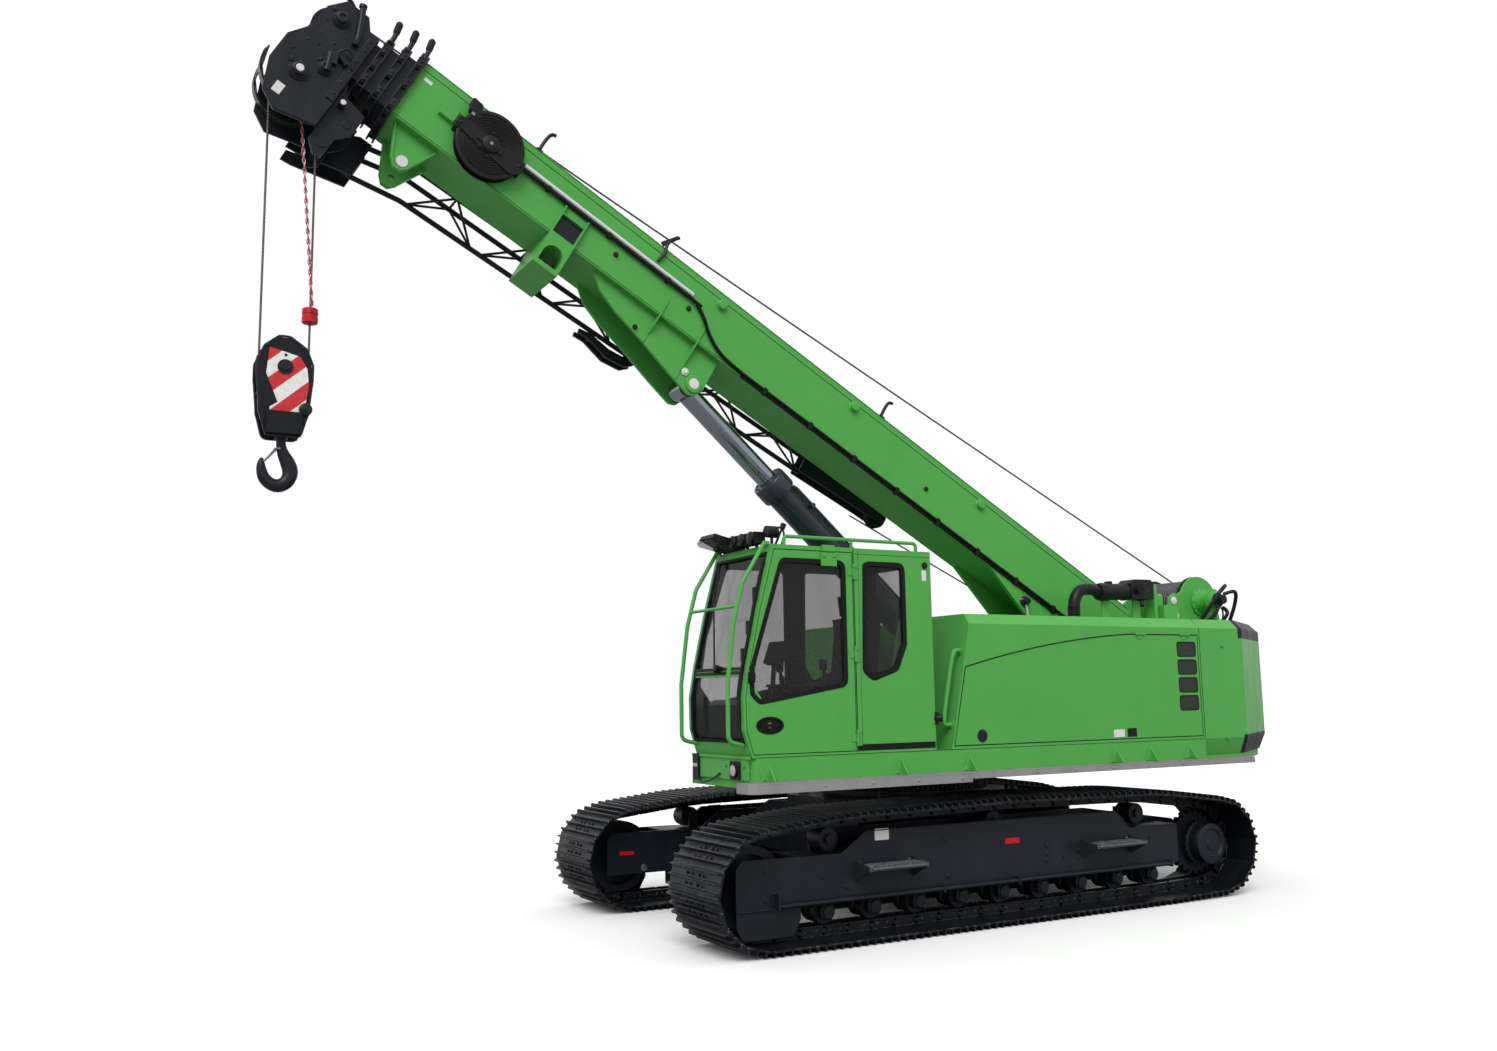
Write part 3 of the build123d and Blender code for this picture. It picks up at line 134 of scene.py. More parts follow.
def edge_mask(tree, radius):
    # one where a bevelled normal leaves the true one: along the edges
    bevel = tree.nodes.new("ShaderNodeBevel")
    bevel.samples = 4
    bevel.inputs["Radius"].default_value = radius
    geometry = tree.nodes.new("ShaderNodeNewGeometry")
    dot = tree.nodes.new("ShaderNodeVectorMath")
    dot.operation = "DOT_PRODUCT"
    tree.links.new(bevel.outputs["Normal"], dot.inputs[0])
    tree.links.new(geometry.outputs["Normal"], dot.inputs[1])
    return ramp(tree, dot.outputs["Value"], 0.99, 0.9, 0, 1), bevel.outputs["Normal"]


def painted(name, colour, rough=0.4, vary=0.05, dirt=0.1, dirt_colour=(0.16, 0.14, 0.11), grain=0.05,
            edge_wear_and_highlight=0.0, edge_wear_and_highlight_colour=(0.4, 0.4, 0.4), metallic=0.0, round_edges=0.004, gloss=0.3):
    mat, tree, shader = new_material(name)
    broad = noise(tree, 1.3, 4)
    fine = noise(tree, 45, 2)
    light = tuple(min(1, v * (1 + vary)) for v in colour)
    dark = tuple(v * (1 - vary) for v in colour)
    base = mix(tree, broad, dark, light)
    smear = noise(tree, 5.5, 6, (1, 1, 0.35))
    base = mix(tree, ramp(tree, smear, 0.5, 0.78, 0, dirt), base, dirt_colour)
    if edge_wear_and_highlight or round_edges:
        mask, normal = edge_mask(tree, round_edges)
    # lighter edges: partly real wear, partly a painted highlight standing in for light caught on the edges,
    # most of all on the track shoes
    if edge_wear_and_highlight:
        wear_and_highlight_patches = ramp(tree, noise(tree, 22, 4), 0.45, 0.62, 0, 1)
        both = tree.nodes.new("ShaderNodeMath")
        both.operation = "MULTIPLY"
        tree.links.new(mask, both.inputs[0])
        tree.links.new(wear_and_highlight_patches, both.inputs[1])
        base = mix(tree, ramp(tree, both.outputs[0], 0, 1, 0, edge_wear_and_highlight), base, edge_wear_and_highlight_colour)
    tree.links.new(base, shader.inputs["Base Color"])
    tree.links.new(ramp(tree, smear, 0.3, 0.75, rough - 0.06, rough + 0.12), shader.inputs["Roughness"])
    bump = tree.nodes.new("ShaderNodeBump")
    bump.inputs["Strength"].default_value = grain
    bump.inputs["Distance"].default_value = 0.004
    tree.links.new(fine, bump.inputs["Height"])
    if round_edges:
        tree.links.new(normal, bump.inputs["Normal"])
    tree.links.new(bump.outputs["Normal"], shader.inputs["Normal"])
    shader.inputs["Metallic"].default_value = metallic
    shader.inputs["Specular IOR Level"].default_value = gloss
    return mat


def glazing(name, tint, alpha):
    mat, tree, shader = new_material(name)
    shader.inputs["Base Color"].default_value = (*tint, 1)
    shader.inputs["Roughness"].default_value = 0.04
    shader.inputs["Specular IOR Level"].default_value = 0.45
    streak = noise(tree, 2.2, 2, (1, 1, 0.2))
    tree.links.new(ramp(tree, streak, 0.3, 0.7, alpha - 0.05, alpha + 0.06), shader.inputs["Alpha"])
    return mat


def striped(name, first, second, pitch, angle, shift):
    # straight bands across the XZ plane
    mat, tree, shader = new_material(name)
    coord = tree.nodes.new("ShaderNodeTexCoord")
    dot = tree.nodes.new("ShaderNodeVectorMath")
    dot.operation = "DOT_PRODUCT"
    dot.inputs[1].default_value = (math.cos(angle) / pitch, 0, math.sin(angle) / pitch)
    tree.links.new(coord.outputs["Object"], dot.inputs[0])
    add = tree.nodes.new("ShaderNodeMath")
    add.operation = "ADD"
    add.inputs[1].default_value = shift
    tree.links.new(dot.outputs["Value"], add.inputs[0])
    part = tree.nodes.new("ShaderNodeMath")
    part.operation = "FRACT"
    tree.links.new(add.outputs[0], part.inputs[0])
    step = tree.nodes.new("ShaderNodeMath")
    step.operation = "GREATER_THAN"
    step.inputs[1].default_value = 0.5
    tree.links.new(part.outputs[0], step.inputs[0])
    base = mix(tree, step.outputs[0], first, second)
    base = mix(tree, ramp(tree, noise(tree, 30, 5), 0.5, 0.75, 0, 0.25), base, (0.2, 0.18, 0.16))
    tree.links.new(base, shader.inputs["Base Color"])
    shader.inputs["Roughness"].default_value = 0.35
    return mat


def stranded(name, colour, slant):
    # helical strands of a wire rope that runs along Z, or along the boom
    mat, tree, shader = new_material(name)
    coord = tree.nodes.new("ShaderNodeTexCoord")
    wave = tree.nodes.new("ShaderNodeTexWave")
    wave.inputs["Scale"].default_value = 22
    wave.inputs["Distortion"].default_value = 0.4
    mapping = tree.nodes.new("ShaderNodeMapping")
    mapping.inputs["Rotation"].default_value = slant
    tree.links.new(coord.outputs["Object"], mapping.inputs["Vector"])
    tree.links.new(mapping.outputs["Vector"], wave.inputs["Vector"])
    dark = tuple(v * 0.45 for v in colour)
    tree.links.new(mix(tree, wave.outputs["Fac"], dark, colour), shader.inputs["Base Color"])
    bump = tree.nodes.new("ShaderNodeBump")
    bump.inputs["Strength"].default_value = 0.6
    bump.inputs["Distance"].default_value = 0.003
    tree.links.new(wave.outputs["Fac"], bump.inputs["Height"])
    tree.links.new(bump.outputs["Normal"], shader.inputs["Normal"])
    shader.inputs["Metallic"].default_value = 0.7
    tree.links.new(ramp(tree, noise(tree, 60, 2), 0.3, 0.7, 0.35, 0.6), shader.inputs["Roughness"])
    return mat


GREEN = painted("green_paint", (0.084, 0.385, 0.072), 0.36, 0.04, 0.08, (0.06, 0.22, 0.05), 0.02, gloss=0.22)
# track steel: its light grouser edges are partly wear and partly a painted highlight
TRACK = painted("track_steel", (0.009, 0.011, 0.015), 0.36, 0.3, 0.3, (0.045, 0.047, 0.050), 0.25, 0.85,
                (0.20, 0.22, 0.25), 0.45, gloss=0.4)
FRAME = painted("frame_paint", (0.011, 0.014, 0.020), 0.36, 0.2, 0.22, (0.032, 0.035, 0.040), 0.05, 0.4,
                (0.09, 0.10, 0.12), gloss=0.25)
DARK = painted("dark_paint", (0.011, 0.013, 0.019), 0.34, 0.15, 0.2, (0.035, 0.038, 0.045), 0.05, 0.5,
               (0.12, 0.13, 0.15), gloss=0.25)
BLACK = painted("black_paint", (0.006, 0.007, 0.009), 0.32, 0.15, 0.1, (0.02, 0.02, 0.022), 0.04, 0.3,
                (0.06, 0.065, 0.07), gloss=0.25)
STEP = painted("step_metal", (0.16, 0.17, 0.19), 0.30, 0.15, 0.5, (0.03, 0.03, 0.035), 0.2, 0.6,
               (0.6, 0.6, 0.6), 0.9)
RAIL = painted("rail_metal", (0.32, 0.31, 0.32), 0.45, 0.15, 0.45, (0.10, 0.09, 0.09), 0.12, 0.5,
               (0.42, 0.12, 0.10), 0.3)
PLASTIC = painted("black_plastic", (0.008, 0.008, 0.010), 0.40, 0.15, 0.12, (0.035, 0.035, 0.038), 0.1,
                  gloss=0.25)
CAP = painted("cap_plastic", (0.020, 0.025, 0.036), 0.40, 0.1, 0.15, (0.05, 0.052, 0.06), 0.08, gloss=0.08)
VENT = painted("vent_mesh", (0.040, 0.043, 0.034), 0.6, 0.15, 0.2, (0.02, 0.02, 0.018), 0.5, gloss=0.15)
RUBBER = painted("seal_rubber", (0.006, 0.006, 0.007), 0.5, 0.2, 0.1, (0.02, 0.02, 0.02), 0.1,
                 round_edges=0.002, gloss=0.2)
BARREL = painted("cylinder_paint", (0.020, 0.027, 0.039), 0.26, 0.1, 0.1, (0.035, 0.04, 0.05), 0.02,
                 gloss=0.5)
CHROME = painted("rod_chrome", (0.30, 0.34, 0.38), 0.16, 0.02, 0.03, (0.2, 0.22, 0.24), 0.005, metallic=1.0,
                 round_edges=0)
ENGINE = painted("engine_paint", (0.05, 0.05, 0.05), 0.6, 0.2, 0.4, (0.02, 0.02, 0.02), 0.3)
TRIM = painted("seat_trim", (0.012, 0.013, 0.015), 0.7, 0.2, 0.1, (0.03, 0.03, 0.03), 0.5, gloss=0.15)
RED = painted("red_paint", (0.56, 0.010, 0.018), 0.34, 0.1, 0.12, (0.2, 0.01, 0.02), 0.04, gloss=0.25)
WHITE = painted("white_paint", (0.72, 0.72, 0.70), 0.4, 0.05, 0.2, (0.4, 0.4, 0.38), 0.03)
BOLT = painted("bolt_steel", (0.30, 0.31, 0.32), 0.35, 0.15, 0.3, (0.08, 0.08, 0.08), 0.1, metallic=0.9,
               round_edges=0)
TUBE = painted("bright_tube", (0.80, 0.81, 0.82), 0.20, 0.04, 0.1, (0.4, 0.4, 0.4), 0.02, metallic=0.6,
               round_edges=0, gloss=0.6)
GUARD = painted("guard_green", (0.016, 0.034, 0.024), 0.30, 0.15, 0.25, (0.05, 0.07, 0.055), 0.04, 0.3,
                gloss=0.4)
GLASS = glazing("cab_glass", (0.020, 0.021, 0.021), 0.32)
LENS = glazing("lamp_lens", (0.60, 0.60, 0.58), 0.8)
VISOR = glazing("visor_tint", (0.14, 0.14, 0.14), 0.45)
ROPE = stranded("rope_wire", (0.16, 0.14, 0.14), (0, 0.6, 0))
LINE = stranded("line_wire", (0.13, 0.13, 0.14), (0, 1.6, 0))
STRIPES = striped("block_stripes", (0.62, 0.010, 0.016), (0.84, 0.84, 0.82), 0.185, math.radians(48), 0.10)

NODE_FINISH = {
    "carbody": FRAME, "slew_ring": FRAME, "track_frame_left": FRAME, "track_frame_right": FRAME,
    "track_left": TRACK, "track_right": TRACK, "track_wheels": FRAME,
    "track_rollers": FRAME, "frame_steps": STEP, "deck": GREEN, "catwalks": RAIL,
    "cab_shell": GREEN, "cab_windows": GLASS, "cab_interior": TRIM, "cab_guard": GREEN, "work_lamps": PLASTIC,
    "cab_door": GREEN, "door_glass": GLASS, "hood_left": GREEN, "hood_right": GREEN, "flap_left": GREEN,
    "flap_right": GREEN, "engine_block": ENGINE, "counterweight": GREEN, "corner_caps": CAP,
    "winch_frame": GREEN, "winch_drum": BLACK, "air_cleaner": PLASTIC, "boom_base_section": GREEN,
    "cable_reel": PLASTIC, "cable_run": PLASTIC, "jib": DARK, "jib_bracket": DARK, "boom_section_2": DARK,
    "boom_section_3": DARK, "boom_head": DARK, "upper_sheave": DARK, "lower_sheave": DARK,
    "lift_barrel": BARREL, "lift_rod": CHROME, "rope_falls_upper": ROPE, "rope_falls_lower": ROPE,
    "limit_weight": RED, "hook_block": BLACK, "hook": BLACK,
}
for node, finish in NODE_FINISH.items():
    mesh = NODES[node].data
    mesh.materials.clear()
    mesh.materials.append(finish)


# Shape building

class Shape:
    def __init__(self, place=None):
        self.mesh = bmesh.new()
        self.place = place or Matrix.Identity(4)

    def add(self, points, faces):
        made = [self.mesh.verts.new(self.place @ Vector(p)) for p in points]
        for f in faces:
            try:
                self.mesh.faces.new([made[i] for i in f])
            except ValueError:
                pass

    def box(self, x0, x1, y0, y1, z0, z1):
        points = [(x, y, z) for x in (x0, x1) for y in (y0, y1) for z in (z0, z1)]
        self.add(points, [(0, 1, 3, 2), (4, 6, 7, 5), (0, 4, 5, 1), (2, 3, 7, 6), (0, 2, 6, 4), (1, 5, 7, 3)])

    def prism(self, outline, a, b, axis="y"):
        # outline in the two other axes, in their order
        def at(p, d):
            return {"x": (d, p[0], p[1]), "y": (p[0], d, p[1]), "z": (p[0], p[1], d)}[axis]
        n = len(outline)
        points = [at(p, a) for p in outline] + [at(p, b) for p in outline]
        sides = [(k, (k + 1) % n, n + (k + 1) % n, n + k) for k in range(n)]
        self.add(points, [tuple(range(n))[::-1], tuple(range(n, 2 * n))] + sides)

    def ring_prism(self, outer, inner, a, b):
        # a flat frame between two outlines of as many points, in XZ, from y a to y b
        n = len(outer)
        points = [(x, y, z) for y in (a, b) for line in (outer, inner) for x, z in line]
        faces = []
        for k in range(n):
            j = (k + 1) % n
            faces += [(k, j, n + j, n + k), (2 * n + k, 3 * n + k, 3 * n + j, 2 * n + j),
                      (k, 2 * n + k, 2 * n + j, j), (n + k, n + j, 3 * n + j, 3 * n + k)]
        self.add(points, faces)

    def rings(self, centres, radii, sides=12, closed=False, axis=None):
        # a tube through the centres, with a radius at each
        pts = [Vector(c) for c in centres]
        n = len(pts)
        points, faces = [], []
        side = None
        for k, c in enumerate(pts):
            if axis:
                way = axis.copy()
            elif closed:
                way = pts[(k + 1) % n] - pts[k - 1]
            else:
                way = pts[min(k + 1, n - 1)] - pts[max(k - 1, 0)]
            way.normalize()
            if side is None:
                side = way.orthogonal().normalized()
            side = (side - way * side.dot(way)).normalized()
            up = way.cross(side)
            for s in range(sides):
                angle = 2 * math.pi * s / sides
                points.append(c + (side * math.cos(angle) + up * math.sin(angle)) * radii[k])
        last = n if closed else n - 1
        for k in range(last):
            j = (k + 1) % n
            for s in range(sides):
                t = (s + 1) % sides
                faces.append((k * sides + s, k * sides + t, j * sides + t, j * sides + s))
        if not closed:
            faces += [tuple(range(sides))[::-1], tuple(range((n - 1) * sides, n * sides))]
        self.add(points, faces)

    def rod(self, a, b, radius, sides=16, end=None):
        self.rings([a, b], [radius, end or radius], sides)

    def tube(self, points, radius, sides=10, closed=False):
        self.rings(points, [radius] * len(points), sides, closed)

    def bolt(self, at, way, radius=0.012, height=0.009, washer=True):
        at, way = Vector(at), Vector(way).normalized()
        if washer:
            self.rod(at, at + way * 0.003, radius * 1.35, 16)
        self.rod(at, at + way * height, radius, 6, radius * 0.94)

    def turn(self, centre, way, section, sides=40):
        # section: distance along the axis, radius
        centre, way = Vector(centre), Vector(way).normalized()
        self.rings([centre + way * d for d, r in section], [max(r, 0.0005) for d, r in section], sides,
                   axis=way)

    def done(self, name, body, finish, slot, bevel=0.0, smooth=35):
        mesh = bpy.data.meshes.new(name)
        bmesh.ops.recalc_face_normals(self.mesh, faces=self.mesh.faces)
        self.mesh.to_mesh(mesh)
        self.mesh.free()
        piece = bpy.data.objects.new(name, mesh)
        bpy.context.scene.collection.objects.link(piece)
        mesh.materials.append(finish)
        if bevel:
            mod = piece.modifiers.new("round", "BEVEL")
            mod.width = bevel
            mod.segments = 2
            mod.limit_method = "ANGLE"
            mod.angle_limit = math.radians(40)
        mesh.shade_smooth()
        mesh.set_sharp_from_angle(angle=math.radians(smooth))
        if body:
            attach(piece, body)
        return piece


def carved(name, node, body, finish, cut=None, keep="DIFFERENCE"):
    # the node's own form, with the cut taken away or with only what lies inside it
    piece = bpy.data.objects.new(name, NODES[node].data.copy())
    bpy.context.scene.collection.objects.link(piece)
    if cut:
        mesh = bpy.data.meshes.new("knife")
        bmesh.ops.recalc_face_normals(cut.mesh, faces=cut.mesh.faces)
        cut.mesh.to_mesh(mesh)
        knife = bpy.data.objects.new("knife", mesh)
        bpy.context.scene.collection.objects.link(knife)
        mod = piece.modifiers.new("cut", "BOOLEAN")
        mod.operation = keep
        mod.solver = "EXACT"
        mod.object = knife
        done = piece.evaluated_get(bpy.context.evaluated_depsgraph_get())
        cut_mesh = bpy.data.meshes.new_from_object(done)
        piece.modifiers.clear()
        piece.data = cut_mesh
        bpy.data.objects.remove(knife)
    piece.data.materials.clear()
    piece.data.materials.append(finish)
    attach(piece, body)
    return piece


def mirrored(sign):
    return Shape(Matrix.Scale(sign, 4, ALONG_Y))


def refinish(piece, finish, test):
    # another finish on the faces whose middle passes the test
    piece.data.materials.append(finish)
    for polygon in piece.data.polygons:
        polygon.material_index = 1 if test(polygon.center) else 0


def arc(cx, cz, r, start, end, steps):
    return [(cx + r * math.cos(math.radians(start + (end - start) * k / steps)),
             cz + r * math.sin(math.radians(start + (end - start) * k / steps))) for k in range(steps + 1)]


def around(count, radius, turned=0.0):
    # points evenly round a circle, turned by a share of their spacing
    angles = [2 * math.pi * (k + turned) / count for k in range(count)]
    return [(radius * math.cos(a), radius * math.sin(a)) for a in angles]


def rounded(outline, radius, steps=5):
    # the outline with its corners rounded
    out = []
    n = len(outline)
    for k in range(n):
        p, q, r = Vector(outline[k - 1]), Vector(outline[k]), Vector(outline[(k + 1) % n])
        a, b = (p - q).normalized(), (r - q).normalized()
        half = math.acos(max(-1, min(1, a.dot(b)))) / 2
        reach = min(radius / math.tan(half), (p - q).length * 0.49, (r - q).length * 0.49)
        for s in range(steps + 1):
            t = s / steps
            point = (q + a * reach) * (1 - t) ** 2 + q * 2 * t * (1 - t) + (q + b * reach) * t * t
            out.append((point.x, point.y))
    return out


def inset(outline, amount):
    # moves each side of a convex outline inward
    n = len(outline)
    area = sum(outline[k - 1][0] * outline[k][1] - outline[k][0] * outline[k - 1][1] for k in range(n))
    sign = 1 if area > 0 else -1
    lines = []
    for k in range(n):
        p, q = Vector(outline[k]), Vector(outline[(k + 1) % n])
        way = (q - p).normalized()
        normal = Vector((-way.y, way.x)) * sign
        lines.append((p + normal * amount, way))
    out = []
    for k in range(n):
        (p, d), (q, e) = lines[k - 1], lines[k]
        cross = d.x * e.y - d.y * e.x
        if abs(cross) < 1e-9:
            out.append((q.x, q.y))
            continue
        t = ((q - p).x * e.y - (q - p).y * e.x) / cross
        point = p + d * t
        out.append((point.x, point.y))
    return out


def curve_points(points, steps=8):
    # a smooth line through the points
    pts = [Vector(p) for p in points]
    out = []
    for k in range(len(pts) - 1):
        p0, p1, p2, p3 = pts[max(k - 1, 0)], pts[k], pts[k + 1], pts[min(k + 2, len(pts) - 1)]
        for s in range(steps):
            t = s / steps
            out.append(0.5 * (2 * p1 + (p2 - p0) * t + (2 * p0 - 5 * p1 + 4 * p2 - p3) * t * t
                              + (3 * p1 - p0 - 3 * p2 + p3) * t ** 3))
    return out + [pts[-1]]


# Tracks: shoes, links and bolts along the same path as the solid

SHOE_COUNT = 56
WHEELS = [(2.318, 0.442, 0.440), (1.625, 0.745, 0.213), (0.025, 0.773, 0.213), (-1.575, 0.749, 0.213),
          (-2.345, 0.442, 0.424), (-1.68, 0.220, 0.220), (1.68, 0.220, 0.220)]


def track_spans(drop):
    wheels = [(x, z, r - drop) for x, z, r in WHEELS]
    angles = []
    for k, (x, z, r) in enumerate(wheels):
        nx, nz, nr = wheels[(k + 1) % len(wheels)]
        reach = math.hypot(nx - x, nz - z)
        angles.append(math.atan2(nz - z, nx - x) - math.acos((r - nr) / reach))
    spans = []
    for k, (x, z, r) in enumerate(wheels):
        start, end = angles[k - 1], angles[k]
        while end < start:
            end += 2 * math.pi
        spans.append((r * (end - start), (x, z, r, start, end), None))
        nx, nz, nr = wheels[(k + 1) % len(wheels)]
        a = Vector((x + r * math.cos(end), 0, z + r * math.sin(end)))
        b = Vector((nx + nr * math.cos(end), 0, nz + nr * math.sin(end)))
        spans.append(((b - a).length, None, (a, b)))
    return spans


def track_point(spans, s):
    s %= sum(span[0] for span in spans)
    for length, bend, line in spans:
        if s <= length:
            if bend:
                angle = bend[3] + (bend[4] - bend[3]) * s / length
                return Vector((bend[0] + bend[2] * math.cos(angle), 0, bend[1] + bend[2] * math.sin(angle)))
            return line[0].lerp(line[1], s / length)
        s -= length
    return track_point(spans, 0)


def track_loop(name, centre, node):
    spans = track_spans(0.024)
    pitch = sum(span[0] for span in spans) / SHOE_COUNT
    shoe = Shape()
    half = pitch / 2
    for k in range(SHOE_COUNT):
        a, b = track_point(spans, k * pitch), track_point(spans, (k + 1) * pitch)
        along = (b - a).normalized()
        out = Vector((along.z, 0, -along.x))
        mid = (a + b) / 2
        shoe.place = Matrix((
            (along.x, 0, out.x, mid.x), (0, 1, 0, centre), (along.z, 0, out.z, mid.z), (0, 0, 0, 1)))
        # plate with its lap, and three grousers that taper at their ends
        shoe.prism([(-half + 0.005, -0.026), (half - 0.004, -0.026), (half + 0.001, -0.020),
                    (half + 0.001, -0.013), (half - 0.005, -0.011), (-half + 0.005, -0.011)], -0.385, 0.385)
        for g in (-1, 0, 1):
            u = g * pitch / 3
            top, foot = 0.005, 0.013
            pts = []
            for y, h in ((-0.395, 0.010), (-0.372, 0.0235), (0.372, 0.0235), (0.395, 0.010)):
                pts += [(u - foot, y, -0.022), (u - top, y, h), (u + top, y, h), (u + foot, y, -0.022)]
            faces = []
            for r in range(3):
                i = r * 4
                faces += [(i, i + 1, i + 5, i + 4), (i + 1, i + 2, i + 6, i + 5),
                          (i + 2, i + 3, i + 7, i + 6), (i + 3, i, i + 4, i + 7)]
            shoe.add(pts, faces + [(0, 3, 2, 1), (12, 13, 14, 15)])
        for y in (-0.125, -0.055, 0.055, 0.125):
            for u in (-pitch / 6, pitch / 6):
                shoe.bolt((u, y, -0.012), UPWARD, 0.012, 0.014, False)
        # two chain links that overlap their neighbours, and the pin
        for y in (-0.085, 0.060):
            shoe.prism([(-half - 0.02, -0.036), (-half + 0.02, -0.016), (half - 0.02, -0.016),
                        (half + 0.02, -0.034), (half + 0.022, -0.078), (half - 0.012, -0.100),
                        (-half + 0.012, -0.100), (-half - 0.022, -0.080)], y, y + 0.025)
            for u in (-half * 0.45, half * 0.45):
                shoe.rod((u, y - 0.004, -0.058), (u, y + 0.029, -0.058), 0.013, 8)
        shoe.rod((half, -0.097, -0.058), (half, 0.097, -0.058), 0.018, 10)
        shoe.rod((half, -0.060, -0.058), (half, 0.060, -0.058), 0.029, 10)
    piece = shoe.done(name, "undercarriage", TRACK, "track_steel", smooth=30)
    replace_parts(piece, node)


track_loop("track_shoes_left", 1.14, "track_left")
track_loop("track_shoes_right", -1.14, "track_right")


# Track frames, carbody

def sides():
    return ((1, "left"), (-1, "right"))


for sign, hand in sides():
    body = "undercarriage"
    mark = mirrored(sign)
    for x, z in ((1.55, 0.40), (1.76, 0.49), (2.24, 0.56), (2.24, 0.36), (0.60, 0.40), (0.62, 0.68),
                 (-0.42, 0.50), (-0.42, 0.56), (-0.42, 0.44), (-0.60, 0.46), (-0.76, 0.50), (-0.76, 0.44),
                 (-1.60, 0.55)):
        mark.bolt((x, 1.340, z), ALONG_Y, 0.016, 0.012)
    for k in range(9):
        x = 1.68 - 0.42 * k
        for dx in (-0.034, 0.034):
            mark.bolt((x + dx, 1.270, 0.27), ALONG_Y, 0.013, 0.012)
        mark.turn((x, 1.269, 0.226), ALONG_Y,
                  [(0, 0.062), (0.012, 0.062), (0.018, 0.050), (0.030, 0.046), (0.034, 0)], 24)
    mark.tube([(x, 1.3435, 0.297) for x in (-1.84, 0, 2.46)], 0.006, 6)
    mark.tube([(1.583, 1.342, 0.640), (1.365, 1.342, 0.790), (-1.217, 1.342, 0.790), (-1.373, 1.342, 0.640)],
              0.005, 6)
    # hub cover rings
    mark.turn((-2.345, 1.350, 0.442), ALONG_Y,
              [(0, 0.178), (0.014, 0.176), (0.020, 0.160), (0.020, 0.130), (0.004, 0.120),
              (0.004, 0.06), (0.014, 0.055), (0.014, 0)], 40)
    for dx, dz in around(24, 0.196):
        mark.bolt((-2.345 + dx, 1.236, 0.442 + dz), ALONG_Y, 0.011, 0.012, False)
    # idler yoke and track adjuster behind the side plate
    mark.box(1.93, 2.30, 1.265, 1.315, 0.405, 0.485)
    mark.rod((1.50, 1.14, 0.45), (1.98, 1.14, 0.45), 0.075, 24)
    mark.done("frame_fittings_" + hand, body, FRAME, "frame_paint", 0.002)
    plate = mirrored(sign)
    plate.prism(rounded([(1.155, 0.715), (1.285, 0.715), (1.285, 0.800), (1.155, 0.800)], 0.006, 2), 1.3405,
                1.3425)
    plate.done("blank_sign_" + hand, body, WHITE, "frame_paint")
    spot = mirrored(sign)
    spot.prism(rounded([(-0.130, 0.600), (0.020, 0.600), (0.020, 0.645), (-0.130, 0.645)], 0.012, 3), 1.3405,
               1.346)
    spot.done("side_reflector_" + hand, body, RED, "red_paint", 0.002)
    # step plates: ribbed tread over the tread frame
    tread = mirrored(sign)
    for x0, x1 in ((0.930, 1.470), (-1.370, -0.800)):
        for k in range(7):
            y = 1.384 + 0.021 * k
            tread.box(x0 + 0.02, x1 - 0.02, y, y + 0.006, 0.551, 0.558)
        for k in range(12):
            x = x0 + 0.03 + (x1 - x0 - 0.06) * k / 11
            tread.box(x - 0.003, x + 0.003, 1.376, 1.522, 0.548, 0.554)
        tread.tube([(x0 + 0.012, 1.34, 0.505), (x0 + 0.012, 1.50, 0.530), (x0 + 0.03, 1.536, 0.536),
                    (x1 - 0.03, 1.536, 0.536), (x1 - 0.012, 1.50, 0.530), (x1 - 0.012, 1.34, 0.505)], 0.012,
                    8)
        for x in (x0 + 0.04, x1 - 0.04):
            tread.bolt((x, 1.341, 0.555), ALONG_Y, 0.012, 0.012)
    tread.done("step_treads_" + hand, body, STEP, "step_metal", 0.001)

skirt = Shape()
for y in (1.0, -1.0):
    skirt.box(-1.90, 1.90, y - 0.006, y + 0.006, 0.185, 0.340)
skirt.done("roller_guards", "undercarriage", FRAME, "frame_paint")
spot = Shape()
spot.prism(rounded([(2.230, 0.458), (2.370, 0.458), (2.370, 0.490), (2.230, 0.490)], 0.012, 3), -0.9395,
           -0.934)
spot.done("front_reflector", "undercarriage", RED, "red_paint")
spot = Shape()
spot.turn((2.135, -0.9395, 0.341), ALONG_Y, [(0, 0.032), (0.010, 0.030), (0.014, 0.020), (0.014, 0)], 20)
spot.done("far_frame_plug", "undercarriage", BOLT, "step_metal")

ring = Shape()
for x, y in around(48, 0.722):
    ring.bolt((x, y, 0.99), UPWARD, 0.013, 0.016)
for x, y in around(96, 0.69, 0.5):
    ring.box(x - 0.008, x + 0.008, y - 0.008, y + 0.008, 0.992, 1.05)
ring.done("slew_ring_bolts", "undercarriage", FRAME, "frame_paint")


# Deck, walkways, flaps and counterweight

DECK_STEP = 1.400
cut = Shape()
cut.box(DECK_STEP, 2.40, -1.40, 0.40, 1.10, 1.40)
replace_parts(carved("deck_frame", "deck", "upper", GREEN, cut), "deck")

